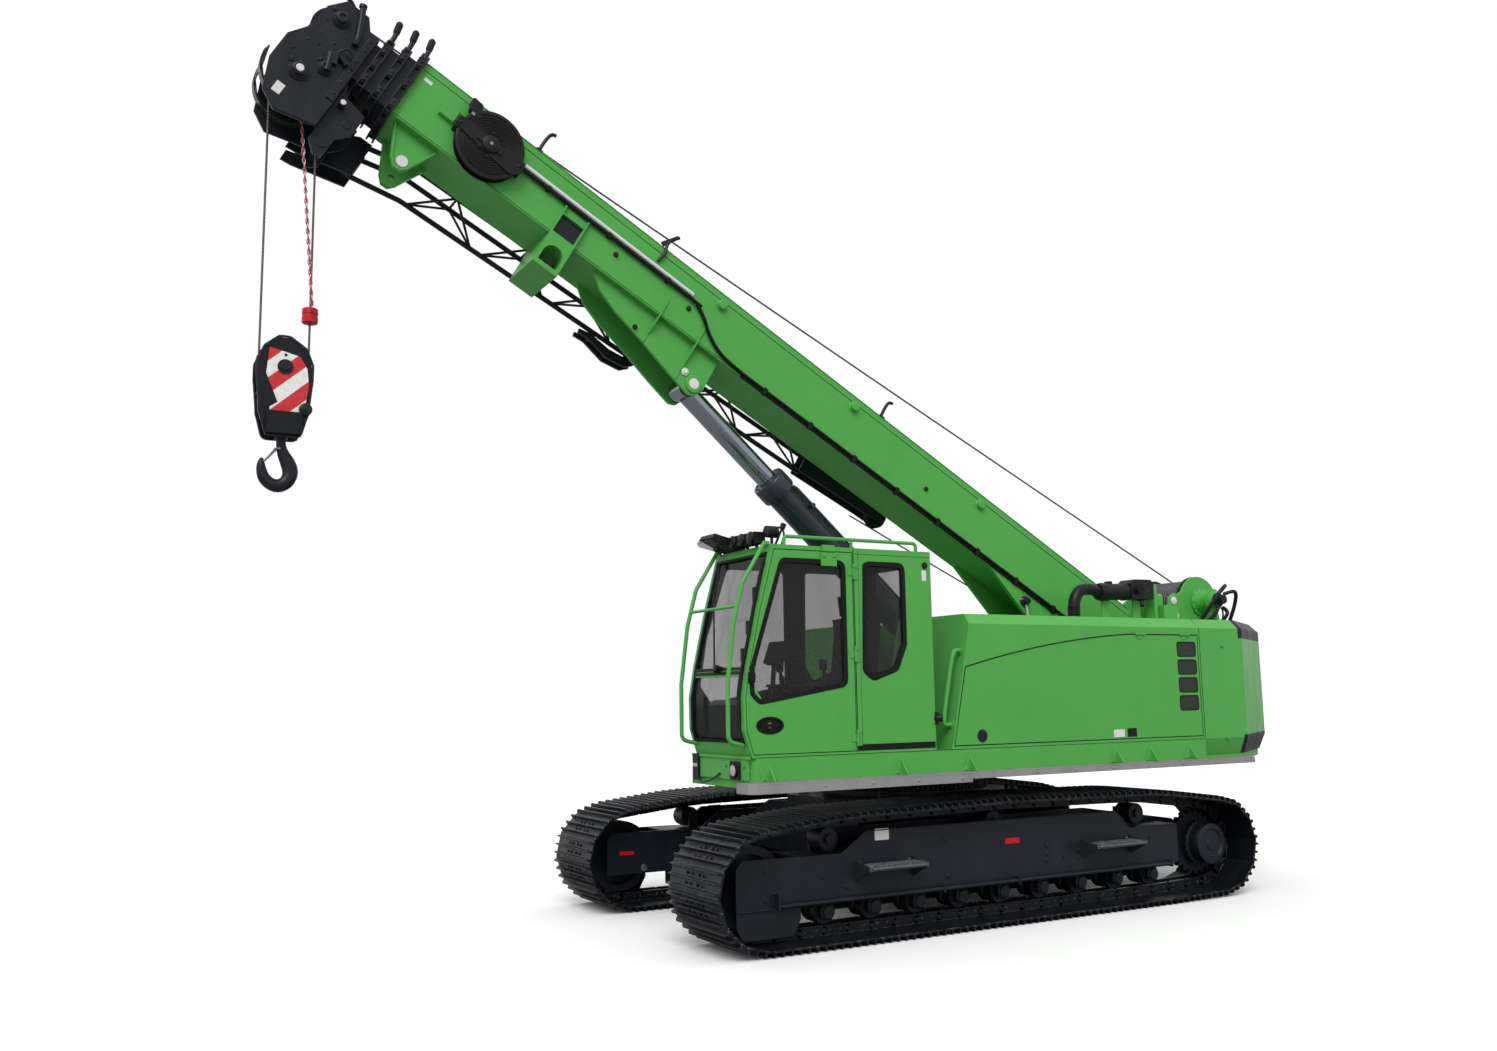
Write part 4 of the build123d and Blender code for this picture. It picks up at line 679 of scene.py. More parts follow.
GUSSETS = (2.185, 1.004, 0.331, -1.272, -1.690, -2.180)
walk = Shape()
tread = Shape()
gussets = Shape()
for sign in (1, -1):
    walk.place = tread.place = gussets.place = Matrix.Scale(sign, 4, ALONG_Y)
    front = 2.455 if sign > 0 else DECK_STEP - 0.07
    for x0, x1, y1, z0, z1 in ((0.475, front, 1.530, 1.118, 1.190), (-2.875, 0.470, 1.460, 1.137, 1.188)):
        walk.prism([(x0, 1.321), (x1, 1.321), (x1, y1 - 0.05), (x1 - 0.05, y1), (x0, y1)], z1 - 0.008, z1,
                   "z")
        walk.box(x0, x1 - 0.05, y1 - 0.012, y1, z0, z1 - 0.0082)
        walk.box(x1 - 0.012, x1, 1.321, y1 - 0.052, z0, z1 - 0.0082)
        walk.prism([(x1 - 0.012, y1 - 0.050), (x1, y1 - 0.050), (x1 - 0.050, y1), (x1 - 0.050, y1 - 0.012)],
                   z0, z1 - 0.0082, "z")
        for k in range(int((x1 - x0) / 0.42)):
            walk.bolt((x0 + 0.1 + 0.42 * k, y1, (z0 + z1) / 2), ALONG_Y, 0.009, 0.006)
        for i in range(int((x1 - x0 - 0.06) / 0.05)):
            for j in range(int((y1 - 1.36) / 0.03)):
                x, y = x0 + 0.02 + 0.05 * (i + 0.5 + 0.5 * (j % 2)), 1.372 + 0.03 * j
                d = 0.012 if (i + j) % 2 else -0.012
                tread.prism([(x - 0.012, y - d * 0.5), (x, y + 0.003), (x + 0.012, y + d * 0.5),
                             (x, y - 0.003)], z1, z1 + 0.0015, "z")
    for x in GUSSETS:
        if x < front:
            gussets.prism([(x - 0.075, 1.190), (x + 0.075, 1.190), (x + 0.014, 1.310), (x - 0.014, 1.310)],
                          1.320, 1.334)
            gussets.prism([(1.334, 1.190), (1.420, 1.190), (1.334, 1.300)], x - 0.006, x + 0.006, "x")
            for dx in (-0.045, 0.045):
                gussets.bolt((x + dx, 1.334, 1.207), ALONG_Y, 0.010, 0.008)
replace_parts(walk.done("catwalk_rails", "upper", RAIL, "rail_metal", 0.0015), "catwalks")
tread.done("catwalk_tread", "upper", RAIL, "rail_metal")
gussets.done("catwalk_gussets", "upper", GREEN, "green_paint", 0.0015)

front = Shape()
front.box(2.335, 2.352, 0.47, 1.30, 1.20, 1.352)
front.box(2.335, 2.362, 0.44, 1.32, 1.352, 1.372)
front.box(1.430, 2.335, 0.400, 0.420, 1.1405, 1.3595)
front.box(DECK_STEP - 0.020, DECK_STEP, -1.320, 0.400, 1.1405, 1.3595)
for y in (0.52, 0.98, 1.25):
    front.bolt((2.349, y, 1.30), ALONG_X, 0.012, 0.01)
front.done("deck_front_plate", "upper", GREEN, "green_paint", 0.003)
FRONT_LAMP_Y = 1.13
lamp = Shape()
lamp.prism(rounded([(FRONT_LAMP_Y - 0.075, 1.200), (FRONT_LAMP_Y + 0.075, 1.200),
                    (FRONT_LAMP_Y + 0.075, 1.335), (FRONT_LAMP_Y - 0.075, 1.335)], 0.02), 2.3525, 2.364,
           "x")
lamp.turn((2.364, FRONT_LAMP_Y, 1.268), ALONG_X, [(0, 0.052), (0.012, 0.052), (0.016, 0.046)], 24)
lamp.box(2.353, 2.372, 0.478, 0.565, 1.175, 1.375)
lamp.tube(curve_points([(2.36, 0.55, 1.20), (2.385, 0.66, 1.165), (2.375, 0.80, 1.19), (2.36, 0.90, 1.24)]),
          0.007, 6)
lamp.done("deck_front_lamps", "upper", PLASTIC, "black_plastic", 0.002)
lamp = Shape()
lamp.turn((2.372, FRONT_LAMP_Y, 1.268), ALONG_X, [(0, 0.044), (0.008, 0.040), (0.012, 0.02), (0.013, 0)], 24)
lamp.box(2.372, 2.378, 0.485, 0.555, 1.275, 1.300)
lamp.done("deck_front_lenses", "upper", LENS, "cab_glass")

# the dark gap under the rear of the cab: black strips as painted shade where that gap is in shadow, and a
# dark seam line along the side
gap = Shape()
gap.box(0.665, 1.395, MARK_BACK, 1.3222, 1.382, 1.430)
gap.box(0.640, 0.654, 0.50, 1.28, 1.365, 1.40)
gap.box(-2.39, 2.27, 1.3202, 1.3212, 1.3585, 1.3625)
gap.done("cab_gap_shade_and_seam", "upper", RUBBER, "black_plastic")

FLAP_LOW = 0.470


def bow(a, b, c, steps):
    # points on the circle through three points
    (ax, ay), (bx, by), (cx, cy) = a, b, c
    d = 2 * (ax * (by - cy) + bx * (cy - ay) + cx * (ay - by))
    aa, bb, cc = ax * ax + ay * ay, bx * bx + by * by, cx * cx + cy * cy
    x = (aa * (by - cy) + bb * (cy - ay) + cc * (ay - by)) / d
    y = (aa * (cx - bx) + bb * (ax - cx) + cc * (bx - ax)) / d
    start, end = math.degrees(math.atan2(ay - y, ax - x)), math.degrees(math.atan2(cy - y, cx - x))
    return arc(x, y, math.hypot(ax - x, ay - y), start, end, steps)


HANDLE_Y = 1.265

for sign, hand in sides():
    fit = mirrored(sign)
    grille = mirrored(sign)
    for k in range(4):
        z = 1.620 + 0.160 * k
        hole = rounded([(-2.345, z - 0.004), (-2.100, z - 0.004), (-2.100, z + 0.134), (-2.345, z + 0.134)],
                       0.035)
        fit.ring_prism(hole, rounded([(-2.335, z + 0.006), (-2.110, z + 0.006), (-2.110, z + 0.124),
                                      (-2.335, z + 0.124)], 0.03), 1.312, 1.3225)
        grille.prism(rounded([(-2.338, z + 0.004), (-2.108, z + 0.004), (-2.108, z + 0.126),
                              (-2.338, z + 0.126)], 0.03), 1.3165, 1.3195)
        for row in range(9):
            grille.box(-2.335, -2.111, 1.3195, 1.3202, z + 0.012 + 0.013 * row, z + 0.015 + 0.013 * row)
    grille.done("vent_grilles_" + hand, "flap_" + hand, VENT, "black_plastic")
    fit.box(-1.540, -1.435, 1.309, SIDE_FACE, 1.407, 1.473)
    # a flat black disc with a thin rim: painted shade for the round opening in the flap
    fit.prism(arc(0.188, 1.459, 0.052, 0, 351, 39), MARK_BACK, MARK_FACE)
    fit.turn((0.188, MARK_FACE, 1.459), ALONG_Y, [(0, 0.052), (0.0008, 0.046), (0.0008, 0)], 32)
    fit.tube([(0.335, LINE_Y, 2.010), (FLAP_LOW, LINE_Y, 1.390), (-2.374, LINE_Y, 1.390),
              (-2.374, LINE_Y, 2.292)], 0.003, 6)
    crease = [(-1.500, 2.292), (-0.560, 2.192), (0.335, 2.010)]
    fit.tube([(-2.374, LINE_Y, 2.292)] + [(x, LINE_Y, z) for x, z in bow(*crease, 24)], 0.0035, 6)
    fit.done("vent_frames_and_opening_shade_" + hand, "flap_" + hand, PLASTIC, "black_plastic", 0.0005)
    label = mirrored(sign)
    label.prism(rounded([(-1.395, 1.405), (-1.265, 1.405), (-1.265, 1.470), (-1.395, 1.470)], 0.006, 2),
                MARK_BACK, MARK_FACE)
    label.done("blank_label_" + hand, "flap_" + hand, WHITE, "green_paint")
    latch = mirrored(sign)
    latch.prism(rounded([(-1.520, 1.420), (-1.455, 1.420), (-1.455, 1.460), (-1.520, 1.460)], 0.008, 3),
                SIDE_FACE, 1.326)
    latch.done("flap_latch_" + hand, "flap_" + hand, RUBBER, "black_plastic", 0.001)
    seam = mirrored(sign)
    seam.box(-2.4035, -2.3985, 0.36, MARK_FACE, 1.37, 2.36)
    seam.prism([(MARK_FACE, 2.357), (1.2365, 2.4465), (0.36, 2.4465), (0.36, 2.44), (1.23, 2.44),
                (1.315, 2.355)], -2.4035, -2.3985, "x")
    seam.done("rear_seam_" + hand, "upper", RUBBER, "black_plastic")
    # grab handle on the hood's leaning front
    rail = mirrored(sign)

    def lean(z, off):
        return 0.500 - (z - 1.36) * 0.2166 + off

    rail.tube(curve_points([(lean(1.56, -0.01), HANDLE_Y, 1.56), (lean(1.56, 0.05), HANDLE_Y, 1.555),
                            (lean(1.60, 0.080), HANDLE_Y, 1.60), (lean(1.85, 0.085), HANDLE_Y, 1.85),
                            (lean(2.10, 0.080), HANDLE_Y, 2.10), (lean(2.15, 0.05), HANDLE_Y, 2.145),
                            (lean(2.14, -0.01), HANDLE_Y, 2.14)], 6), 0.018, 12)
    for z in (1.56, 2.14):
        rail.rod((lean(z, -0.004), HANDLE_Y, z), (lean(z, 0.008), HANDLE_Y, z + 0.002), 0.036, 20)
    rail.done("hood_handle_" + hand, "upper", GREEN, "green_paint")
    eye = mirrored(sign)
    for x, y in ((-2.62, 0.62), (-3.45, 0.62)):
        eye.tube(curve_points([(x - 0.05, y, 2.443), (x - 0.045, y, 2.49), (x, y, 2.52), (x + 0.045, y, 2.49),
                               (x + 0.05, y, 2.443)], 5), 0.013, 10)
    for z in (1.36, 2.20):
        eye.bolt((-2.70, SIDE_FACE, z), ALONG_Y, 0.018, 0.012)
    eye.done("weight_eyes_" + hand, "upper", GREEN, "green_paint")

# dark caps along the rear chamfers, over and under, and the weight's foot
zones = Shape()
for sign in (1, -1):
    zones.place = Matrix.Scale(sign, 4, ALONG_Y)
    for z0, z1 in ((2.270, 2.500), (1.190, 1.385)):
        zones.prism([(-2.925, 1.400), (-2.925, 1.262), (-3.835, 0.740), (-3.990, 0.740), (-3.990, 1.400)],
                    z0, z1, "z")
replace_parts(carved("weight_body", "counterweight", "upper", GREEN, zones), "counterweight")
carved("weight_caps", "counterweight", "upper", CAP, zones, "INTERSECT")
foot = Shape()
outline = [(-2.402, 1.255), (-2.960, 1.255), (-3.790, 0.765), (-3.865, 0.640)]
outline += [(x, -y) for x, y in reversed(outline)]
foot.prism(outline, 1.150, 1.218, "z")
foot.done("weight_foot", "upper", GREEN, "green_paint", 0.004)

# rear details, seen from behind
back = Shape()
for y in (-0.56, 0.56):
    back.prism(rounded([(y - 0.12, 1.42), (y + 0.12, 1.42), (y + 0.12, 1.52), (y - 0.12, 1.52)], 0.02),
               -3.956, -3.944, "x")
back.done("tail_lamp_housings", "upper", PLASTIC, "black_plastic", 0.002)
back = Shape()
for y in (-0.56, 0.56):
    back.prism(rounded([(y - 0.10, 1.435), (y + 0.10, 1.435), (y + 0.10, 1.505), (y - 0.10, 1.505)], 0.015),
               -3.960, -3.955, "x")
back.done("tail_lamps", "upper", RED, "red_paint", 0.001)


# Cab

DOOR_WINDOW = [(1.503, 1.892), (2.246, 1.770), (2.303, 1.825), (2.300, 2.003), (2.036, 2.797), (1.503, 2.797)]
REAR_WINDOW = [(0.940, 2.190), (1.022, 2.006), (1.236, 1.934), (1.309, 1.990), (1.284, 2.798), (0.940, 2.798)]
FAR_DOOR_WINDOW = [(1.500, 1.885), (2.205, 1.745), (2.305, 1.885), (2.245, 2.250), (2.050, 2.825),
                   (1.500, 2.825)]
FAR_REAR_WINDOW = [(0.920, 2.040), (1.250, 1.910), (1.330, 2.040), (1.315, 2.820), (0.920, 2.820)]


def gasket(name, body, outline, y0, y1, wide=0.030):
    seal = Shape()
    outer = rounded(inset(outline, -wide), 0.075, 6)
    inner = rounded(inset(outline, 0.008), 0.045, 6)
    seal.ring_prism(outer, inner, y0, y1)
    seal.done(name, body, RUBBER, "black_plastic", 0.003)


gasket("door_seal", "cab_door", DOOR_WINDOW, 1.300, 1.3245)
gasket("rear_side_seal", "upper", REAR_WINDOW, 1.293, 1.3245)
gasket("far_side_seal", "upper", FAR_DOOR_WINDOW, 0.4455, 0.476)
gasket("far_rear_seal", "upper", FAR_REAR_WINDOW, 0.4455, 0.476)

corner = Shape()
corner.prism([(0.905, 2.025), (1.060, 1.960), (1.030, 2.000), (0.945, 2.190), (0.905, 2.200)], 1.296,
             MARK_BACK)
corner.prism([(1.300, 1.935), (1.340, 2.030), (1.334, 2.150), (1.300, 1.990), (1.250, 1.920)], 1.296,
             MARK_BACK)
corner.done("window_corners", "upper", GREEN, "green_paint")

CAB_FRONT = [(2.320, 1.360), (2.385, 1.560), (2.388, 1.800), (2.346, 2.043), (2.256, 2.434), (2.125, 2.925)]


def front_x(z, off=0.0):
    for (xa, za), (xb, zb) in zip(CAB_FRONT, CAB_FRONT[1:]):
        if z <= zb:
            return xa + (xb - xa) * (z - za) / (zb - za) + off
    return CAB_FRONT[-1][0] + off


# the inside of the cab is lined in black
shell = carved("cab_body", "cab_shell", "upper", GREEN)
refinish(shell, TRIM,
         lambda c: 0.455 < c.y < 1.316 and 0.660 < c.x < front_x(c.z) - 0.012 and 1.365 < c.z < 2.920)
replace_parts(shell, "cab_shell")
door = carved("door_panel", "cab_door", "cab_door", GREEN)
refinish(door, TRIM, lambda c: c.y < 1.300)
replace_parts(door, "cab_door")

screen = Shape()
levels = [1.47, 1.56, 1.68, 1.80, 1.92, 1.98, 2.043, 2.20, 2.434, 2.65, 2.86]
for y in (0.490, 1.254):
    for za, zb in zip(levels, levels[1:]):
        screen.prism([(front_x(za, -0.012), za), (front_x(za, 0.006), za), (front_x(zb, 0.006), zb),
                      (front_x(zb, -0.012), zb)], y, y + 0.026)
for z in (1.465, 1.965, 1.995, 2.848):
    screen.prism([(front_x(z, -0.012), z), (front_x(z, 0.006), z), (front_x(z + 0.022, 0.006), z + 0.022),
                  (front_x(z + 0.022, -0.012), z + 0.022)], 0.49, 1.28)
screen.done("windscreen_seal", "upper", RUBBER, "black_plastic", 0.002)

wiper = Shape()
wiper.turn((2.30, 0.90, 1.985), (0.95, 0, 0.3), [(-0.01, 0.03), (0.10, 0.03), (0.105, 0.02)], 16)
wiper.rod((2.398, 0.90, 2.02), (2.268, 0.66, 2.62), 0.008, 8, 0.006)
wiper.rod((2.315, 0.655, 2.33), (2.218, 0.665, 2.82), 0.009, 6)
for z in (2.05, 2.25, 2.5):
    wiper.box(front_x(z, 0.008), front_x(z, 0.03), 1.262, 1.292, z, z + 0.10)
hose_levels = (1.62, 1.8, 2.0, 2.2, 2.4, 2.6, 2.8)
hose = [(front_x(z, 0.022), 1.283 + 0.008 * math.sin(9 * z), z) for z in hose_levels]
wiper.tube(curve_points(hose, 4), 0.011, 8)
wiper.done("wiper_and_hoses", "upper", PLASTIC, "black_plastic")

door = Shape()
door.turn((2.168, 1.3085, 1.590), ALONG_Y, [(0, 0.040), (0.004, 0.040), (0.007, 0.030), (0.007, 0)], 24)
oval = [(2.168 + 0.117 * c, 1.590 + 0.064 * s) for c, s in around(40, 1.0)]
small = [(2.168 + 0.100 * c, 1.590 + 0.050 * s) for c, s in around(40, 1.0)]
door.ring_prism(oval, small, 1.3125, 1.324)
door.prism(oval, 1.3122, 1.3132)
door.prism(rounded([(2.090, 1.577), (2.246, 1.577), (2.246, 1.603), (2.090, 1.603)], 0.012), 1.3125,
           MARK_FACE)
door.box(2.300, 2.345, SIDE_FACE, 1.350, 1.900, 1.975)
door.rod((2.322, 1.335, 1.89), (2.322, 1.335, 1.985), 0.016, 12)
door.done("door_handle", "cab_door", RUBBER, "black_plastic", 0.002)

hinge = Shape()
hinge.box(1.560, 1.700, SIDE_FACE, 1.337, 2.775, 2.880)
hinge.box(1.580, 1.690, SIDE_FACE, 1.345, 2.885, 2.935)
for x in (1.585, 1.675):
    hinge.bolt((x, 1.337, 2.85), ALONG_Y, 0.010, 0.008)
hinge.done("door_guide", "cab_door", GREEN, "green_paint", 0.003)

seams = Shape()
seams.box(1.3955, 1.4015, SIDE_FACE, 1.3220, 1.372, 2.915)
seams.box(1.3535, 1.3555, MARK_BACK, 1.3212, 1.372, 2.915)
seams.box(0.665, 1.395, MARK_BACK, 1.3212, 2.878, 2.881)
seams.done("cab_seams", "upper", RUBBER, "black_plastic")

fit = Shape()
fit.turn((0.715, SIDE_FACE, 2.815), ALONG_Y, [(0, 0.026), (0.01, 0.026), (0.014, 0.018), (0.014, 0)], 20)
fit.box(0.630, 0.662, 1.13, 1.335, 1.56, 1.66)
fit.rod((0.655, 1.30, 1.61), (0.60, 1.34, 1.61), 0.03, 12)
fit.done("cab_rear_fittings", "upper", PLASTIC, "black_plastic", 0.003)
fit = Shape()
fit.prism(rounded([(0.700, 2.690), (0.745, 2.690), (0.745, 2.775), (0.700, 2.775)], 0.008, 2), 1.3204, 1.3216)
fit.done("cab_blank_plate", "upper", WHITE, "green_paint")

# roof: lamps, visor, handrail feet
roof = Shape()
for y in (0.56, 0.82, 0.96, 1.10):
    roof.prism(rounded([(2.085, 2.945), (2.175, 2.945), (2.190, 3.035), (2.085, 3.035)], 0.012), y - 0.056,
               y + 0.056)
    roof.turn((2.180, y, 2.990), (1, 0, 0.1), [(0, 0.050), (0.012, 0.050), (0.016, 0.044)], 24)
    for k in range(4):
        roof.box(2.078, 2.086, y - 0.05, y + 0.05, 2.955 + 0.02 * k, 2.963 + 0.02 * k)
roof.tube(curve_points([(2.09, 1.10, 3.02), (2.03, 1.13, 3.06), (1.98, 1.19, 3.07), (1.97, 1.24, 3.02),
                        (2.00, 1.25, 2.93)]), 0.008, 8)
roof.tube(curve_points([(2.09, 0.82, 3.02), (2.03, 0.86, 3.05), (1.99, 0.92, 2.99), (1.99, 0.95, 2.93)]),
          0.008, 8)
roof.rod((2.05, 1.245, 2.93), (1.99, 1.265, 3.075), 0.010, 8)
roof.rod((2.00, 1.262, 3.05), (1.985, 1.268, 3.09), 0.022, 12)
roof.done("roof_lamp_bodies", "upper", PLASTIC, "black_plastic", 0.003)
roof = Shape()
for y in (0.56, 0.82, 0.96, 1.10):
    roof.turn((2.190, y, 2.991), (1, 0, 0.1), [(0, 0.042), (0.008, 0.038), (0.012, 0.02), (0.013, 0)], 24)
roof.done("roof_lamp_lenses", "upper", BLACK, "cab_glass")
visor = Shape()
for y in (0.475, 0.700):
    visor.prism([(2.140, 2.950), (2.300, 2.985), (2.315, 3.005), (2.290, 3.035), (2.140, 2.995)], y,
                y + 0.007)
visor.prism([(2.130, 2.995), (2.290, 3.035), (2.315, 3.007), (2.320, 3.011), (2.293, 3.043), (2.130, 3.002)],
            0.475, 0.707)
visor.done("roof_visor", "upper", VISOR, "cab_glass", 0.002)


# Cab inside

seat = Shape()


def cushion(shape, lo, hi, bulge, steps=8):
    # a crowned pad with rolled edges
    (x0, y0, z0), (x1, y1, z1) = lo, hi
    grid = {}
    points, faces = [], []
    for side in (0, 1):
        for i in range(steps + 1):
            for j in range(steps + 1):
                a, b = i / steps, j / steps
                crown = (1 - (2 * a - 1) ** 4) * (1 - (2 * b - 1) ** 4)
                z = (z1 + bulge * crown - 0.03 * (1 - crown)) if side else z0
                grid[side, i, j] = len(points)
                points.append((x0 + (x1 - x0) * a, y0 + (y1 - y0) * b, z))
    for i in range(steps):
        for j in range(steps):
            for side in (0, 1):
                faces.append((grid[side, i, j], grid[side, i + 1, j], grid[side, i + 1, j + 1],
                              grid[side, i, j + 1]))
    for i in range(steps):
        for j in (0, steps):
            faces.append((grid[0, i, j], grid[0, i + 1, j], grid[1, i + 1, j], grid[1, i, j]))
            faces.append((grid[0, j, i], grid[0, j, i + 1], grid[1, j, i + 1], grid[1, j, i]))
    shape.add(points, faces)


cushion(seat, (1.12, 0.66, 1.70), (1.64, 1.11, 1.80), 0.035)
seat.place = Matrix.Translation((1.08, 0, 1.80)) @ Matrix.Rotation(math.radians(83), 4, "Y").inverted()
cushion(seat, (0.0, 0.67, -0.02), (0.62, 1.10, 0.09), 0.04)
cushion(seat, (0.64, 0.77, -0.01), (0.80, 1.00, 0.08), 0.03)
pads = seat.done("seat_pads", "upper", TRIM, "seat_trim")
stick = Shape()
for y in (0.565, 1.205):
    stick.tube(curve_points([(1.60, y, 1.87), (1.605, y, 1.92), (1.61, y, 1.96)]), 0.022, 10)
    stick.turn((1.622, y, 1.99), (0.1, 0, 1),
               [(0, 0.020), (0.02, 0.028), (0.06, 0.030), (0.085, 0.024), (0.09, 0)], 16)
stick.box(1.16, 1.72, 1.13, 1.27, 1.875, 1.895)
stick.box(1.16, 1.72, 0.50, 0.64, 1.875, 1.895)
stick.prism([(2.00, 1.42), (2.30, 1.42), (2.33, 1.56), (2.33, 1.74), (2.24, 1.78), (2.05, 1.70)], 0.60, 1.16)
stick.done("cab_controls", "upper", PLASTIC, "black_plastic", 0.006)


# Air cleaner and winch

air = Shape()
AIR_Y = 0.800
start = Vector((-1.690, AIR_Y, 2.712))
axis = Vector((-0.600, 0, 0.018)).normalized()
air.turn(start, axis, [(0, 0.055), (0.0, 0.076), (0.03, 0.084), (0.10, 0.084), (0.105, 0.077), (0.30, 0.077),
                       (0.305, 0.084), (0.335, 0.084), (0.34, 0.077), (0.52, 0.077), (0.525, 0.088),
                       (0.57, 0.088), (0.60, 0.070), (0.60, 0)], 36)
for share in (0.14, 0.42):
    p = start + axis * share
    air.box(p.x - 0.022, p.x + 0.022, AIR_Y - 0.03, AIR_Y + 0.03, p.z + 0.070, p.z + 0.098)
air.prism(rounded([(-2.325, 2.655), (-2.040, 2.650), (-2.035, 2.800), (-2.075, 2.835), (-2.300, 2.838),
                   (-2.330, 2.790)], 0.02), AIR_Y - 0.085, AIR_Y + 0.085)
air.rod((-2.12, AIR_Y + 0.08, 2.74), (-2.12, AIR_Y + 0.125, 2.73), 0.040, 20)
air.tube(curve_points([(-1.700, AIR_Y, 2.712), (-1.590, AIR_Y, 2.735), (-1.470, AIR_Y, 2.718),
                       (-1.400, AIR_Y, 2.640), (-1.380, AIR_Y, 2.540), (-1.378, AIR_Y, HOOD_TOP)], 7), 0.054,
         20)
for k in range(5):
    air.turn((-1.380, AIR_Y, 2.560 - 0.022 * k), UPWARD, [(0, 0.055), (0.007, 0.062), (0.014, 0.055)], 24)
air.turn((-1.378, AIR_Y, 2.446), UPWARD, [(0, 0.070), (0.014, 0.070), (0.018, 0.060)], 28)
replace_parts(air.done("air_filter", "upper", PLASTIC, "black_plastic", 0.002), "air_cleaner")

stand = Shape()
for x in (-2.20, -1.80):
    stand.box(x - 0.05, x + 0.05, 0.770, 0.782, HOOD_TOP, 2.66)
    stand.box(x - 0.07, x + 0.07, 0.730, 0.860, HOOD_TOP, 2.457)
    for dx in (-0.05, 0.05):
        stand.bolt((x + dx, 0.83, 2.457), UPWARD, 0.010, 0.01)
stand.box(-2.62, -2.44, 0.50, 0.90, HOOD_TOP, 2.60)
stand.turn((-2.53, 0.70, 2.60), UPWARD, [(0, 0.08), (0.10, 0.08), (0.12, 0.06), (0.12, 0)], 28)
stand.box(-2.40, -2.36, 0.74, 0.86, HOOD_TOP, 2.80)
stand.done("air_cleaner_stands", "upper", GREEN, "green_paint", 0.004)

WINCH = Vector((-3.595, 0, 2.700))
coil = Shape()
turns = 14
line = []
for k in range(turns * 24 + 1):
    a = 2 * math.pi * k / 24
    y = -0.235 + 0.47 * k / (turns * 24)
    line.append((WINCH.x + 0.214 * math.cos(a), y, WINCH.z + 0.214 * math.sin(a)))
coil.tube(line, 0.016, 8)
coil.done("drum_rope", "winch_drum", LINE, "rope_wire")
gear = Shape()
for side in (-1, 1):
    for dx, dz in around(10, 0.235):
        gear.bolt(WINCH + Vector((dx, side * 0.281, dz)), (0, side, 0), 0.010, 0.010)
gear.done("drum_bolts", "winch_drum", DARK, "dark_paint")
motor = Shape()
winch_side = [(-3.900, 2.386), (-3.860, 2.560)] + arc(-3.570, 2.690, 0.268, 185, 25, 18)
winch_side += [(-3.150, 2.690), (-3.050, 2.480), (-3.030, 2.386)]
for y0, y1 in ((0.320, 0.345), (-0.345, -0.320)):
    motor.prism(winch_side, y0, y1)
    motor.box(-3.90, -3.05, y0 - 0.02, y1 + 0.02, 2.3855, 2.398)
motor.box(-3.90, -3.82, -0.32, 0.32, 2.386, 2.425)
motor.rod(WINCH + Vector((0, -0.36, 0)), WINCH + Vector((0, 0.36, 0)), 0.05, 24)
motor.turn(WINCH + Vector((0, 0.346, 0)), ALONG_Y,
           [(0, 0.150), (0.018, 0.150), (0.022, 0.130), (0.05, 0.112), (0.14, 0.108),
           (0.145, 0.120), (0.165, 0.120), (0.17, 0.095), (0.22, 0.080), (0.245, 0.060), (0.25, 0)], 40)
for dx, dz in around(12, 0.138):
    motor.bolt(WINCH + Vector((dx, 0.364, dz)), ALONG_Y, 0.009, 0.010)
motor.prism([(-3.36, 2.39), (-3.10, 2.39), (-3.08, 2.60), (-3.12, 2.74), (-3.20, 2.78), (-3.30, 2.72),
             (-3.36, 2.58)], 0.3455, 0.375)
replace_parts(motor.done("winch_sides", "upper", GREEN, "green_paint", 0.003), "winch_frame")
plate = Shape()
for x, z, r in ((-3.165, 2.70, 0.040), (-3.17, 2.545, 0.052)):
    plate.turn((x, 0.3755, z), ALONG_Y, [(0, r), (0.006, r), (0.006, r * 0.6), (0.014, r * 0.55),
                                         (0.014, 0)], 24)
plate.done("winch_plate_discs", "upper", WHITE, "green_paint")
hoses = Shape()
for route in ([(-3.52, 0.60, 2.66), (-3.47, 0.66, 2.60), (-3.40, 0.62, 2.50), (-3.38, 0.52, 2.44)],
              [(-3.66, 0.56, 2.80), (-3.60, 0.66, 2.84), (-3.50, 0.68, 2.78), (-3.42, 0.62, 2.64),
               (-3.36, 0.50, 2.45)],
              [(-3.60, 0.62, 2.62), (-3.56, 0.70, 2.56), (-3.52, 0.66, 2.48), (-3.50, 0.56, 2.44)],
              [(-3.64, 0.60, 2.76), (-3.74, 0.66, 2.78), (-3.80, 0.60, 2.66), (-3.78, 0.52, 2.45)]):
    hoses.tube(curve_points(route), 0.019, 10)
hoses.turn((-3.555, 0.585, 2.70), ALONG_Y,
           [(0, 0.070), (0.03, 0.070), (0.05, 0.050), (0.09, 0.045), (0.09, 0)], 24)
hoses.tube(curve_points([(-3.80, 0.35, 2.446), (-3.79, 0.36, 2.56), (-3.84, 0.37, 2.64), (-3.90, 0.36, 2.62),
                         (-3.91, 0.35, 2.54), (-3.88, 0.34, 2.446)]), 0.009, 8)
hoses.done("winch_hoses", "upper", PLASTIC, "black_plastic")


# Boom

BASE_BODY = "boom_base"
seam = Shape(BOOM)
for side in (1, -1):
    seam.box(-0.300, 7.900, side * BASE_FACE, side * COAT_FACE, 0.9695, 0.9745)
    seam.box(-0.300, 7.900, side * BASE_FACE, side * COAT_FACE, 0.5125, 0.5165)
seam.done("boom_seams", BASE_BODY, RUBBER, "green_paint")

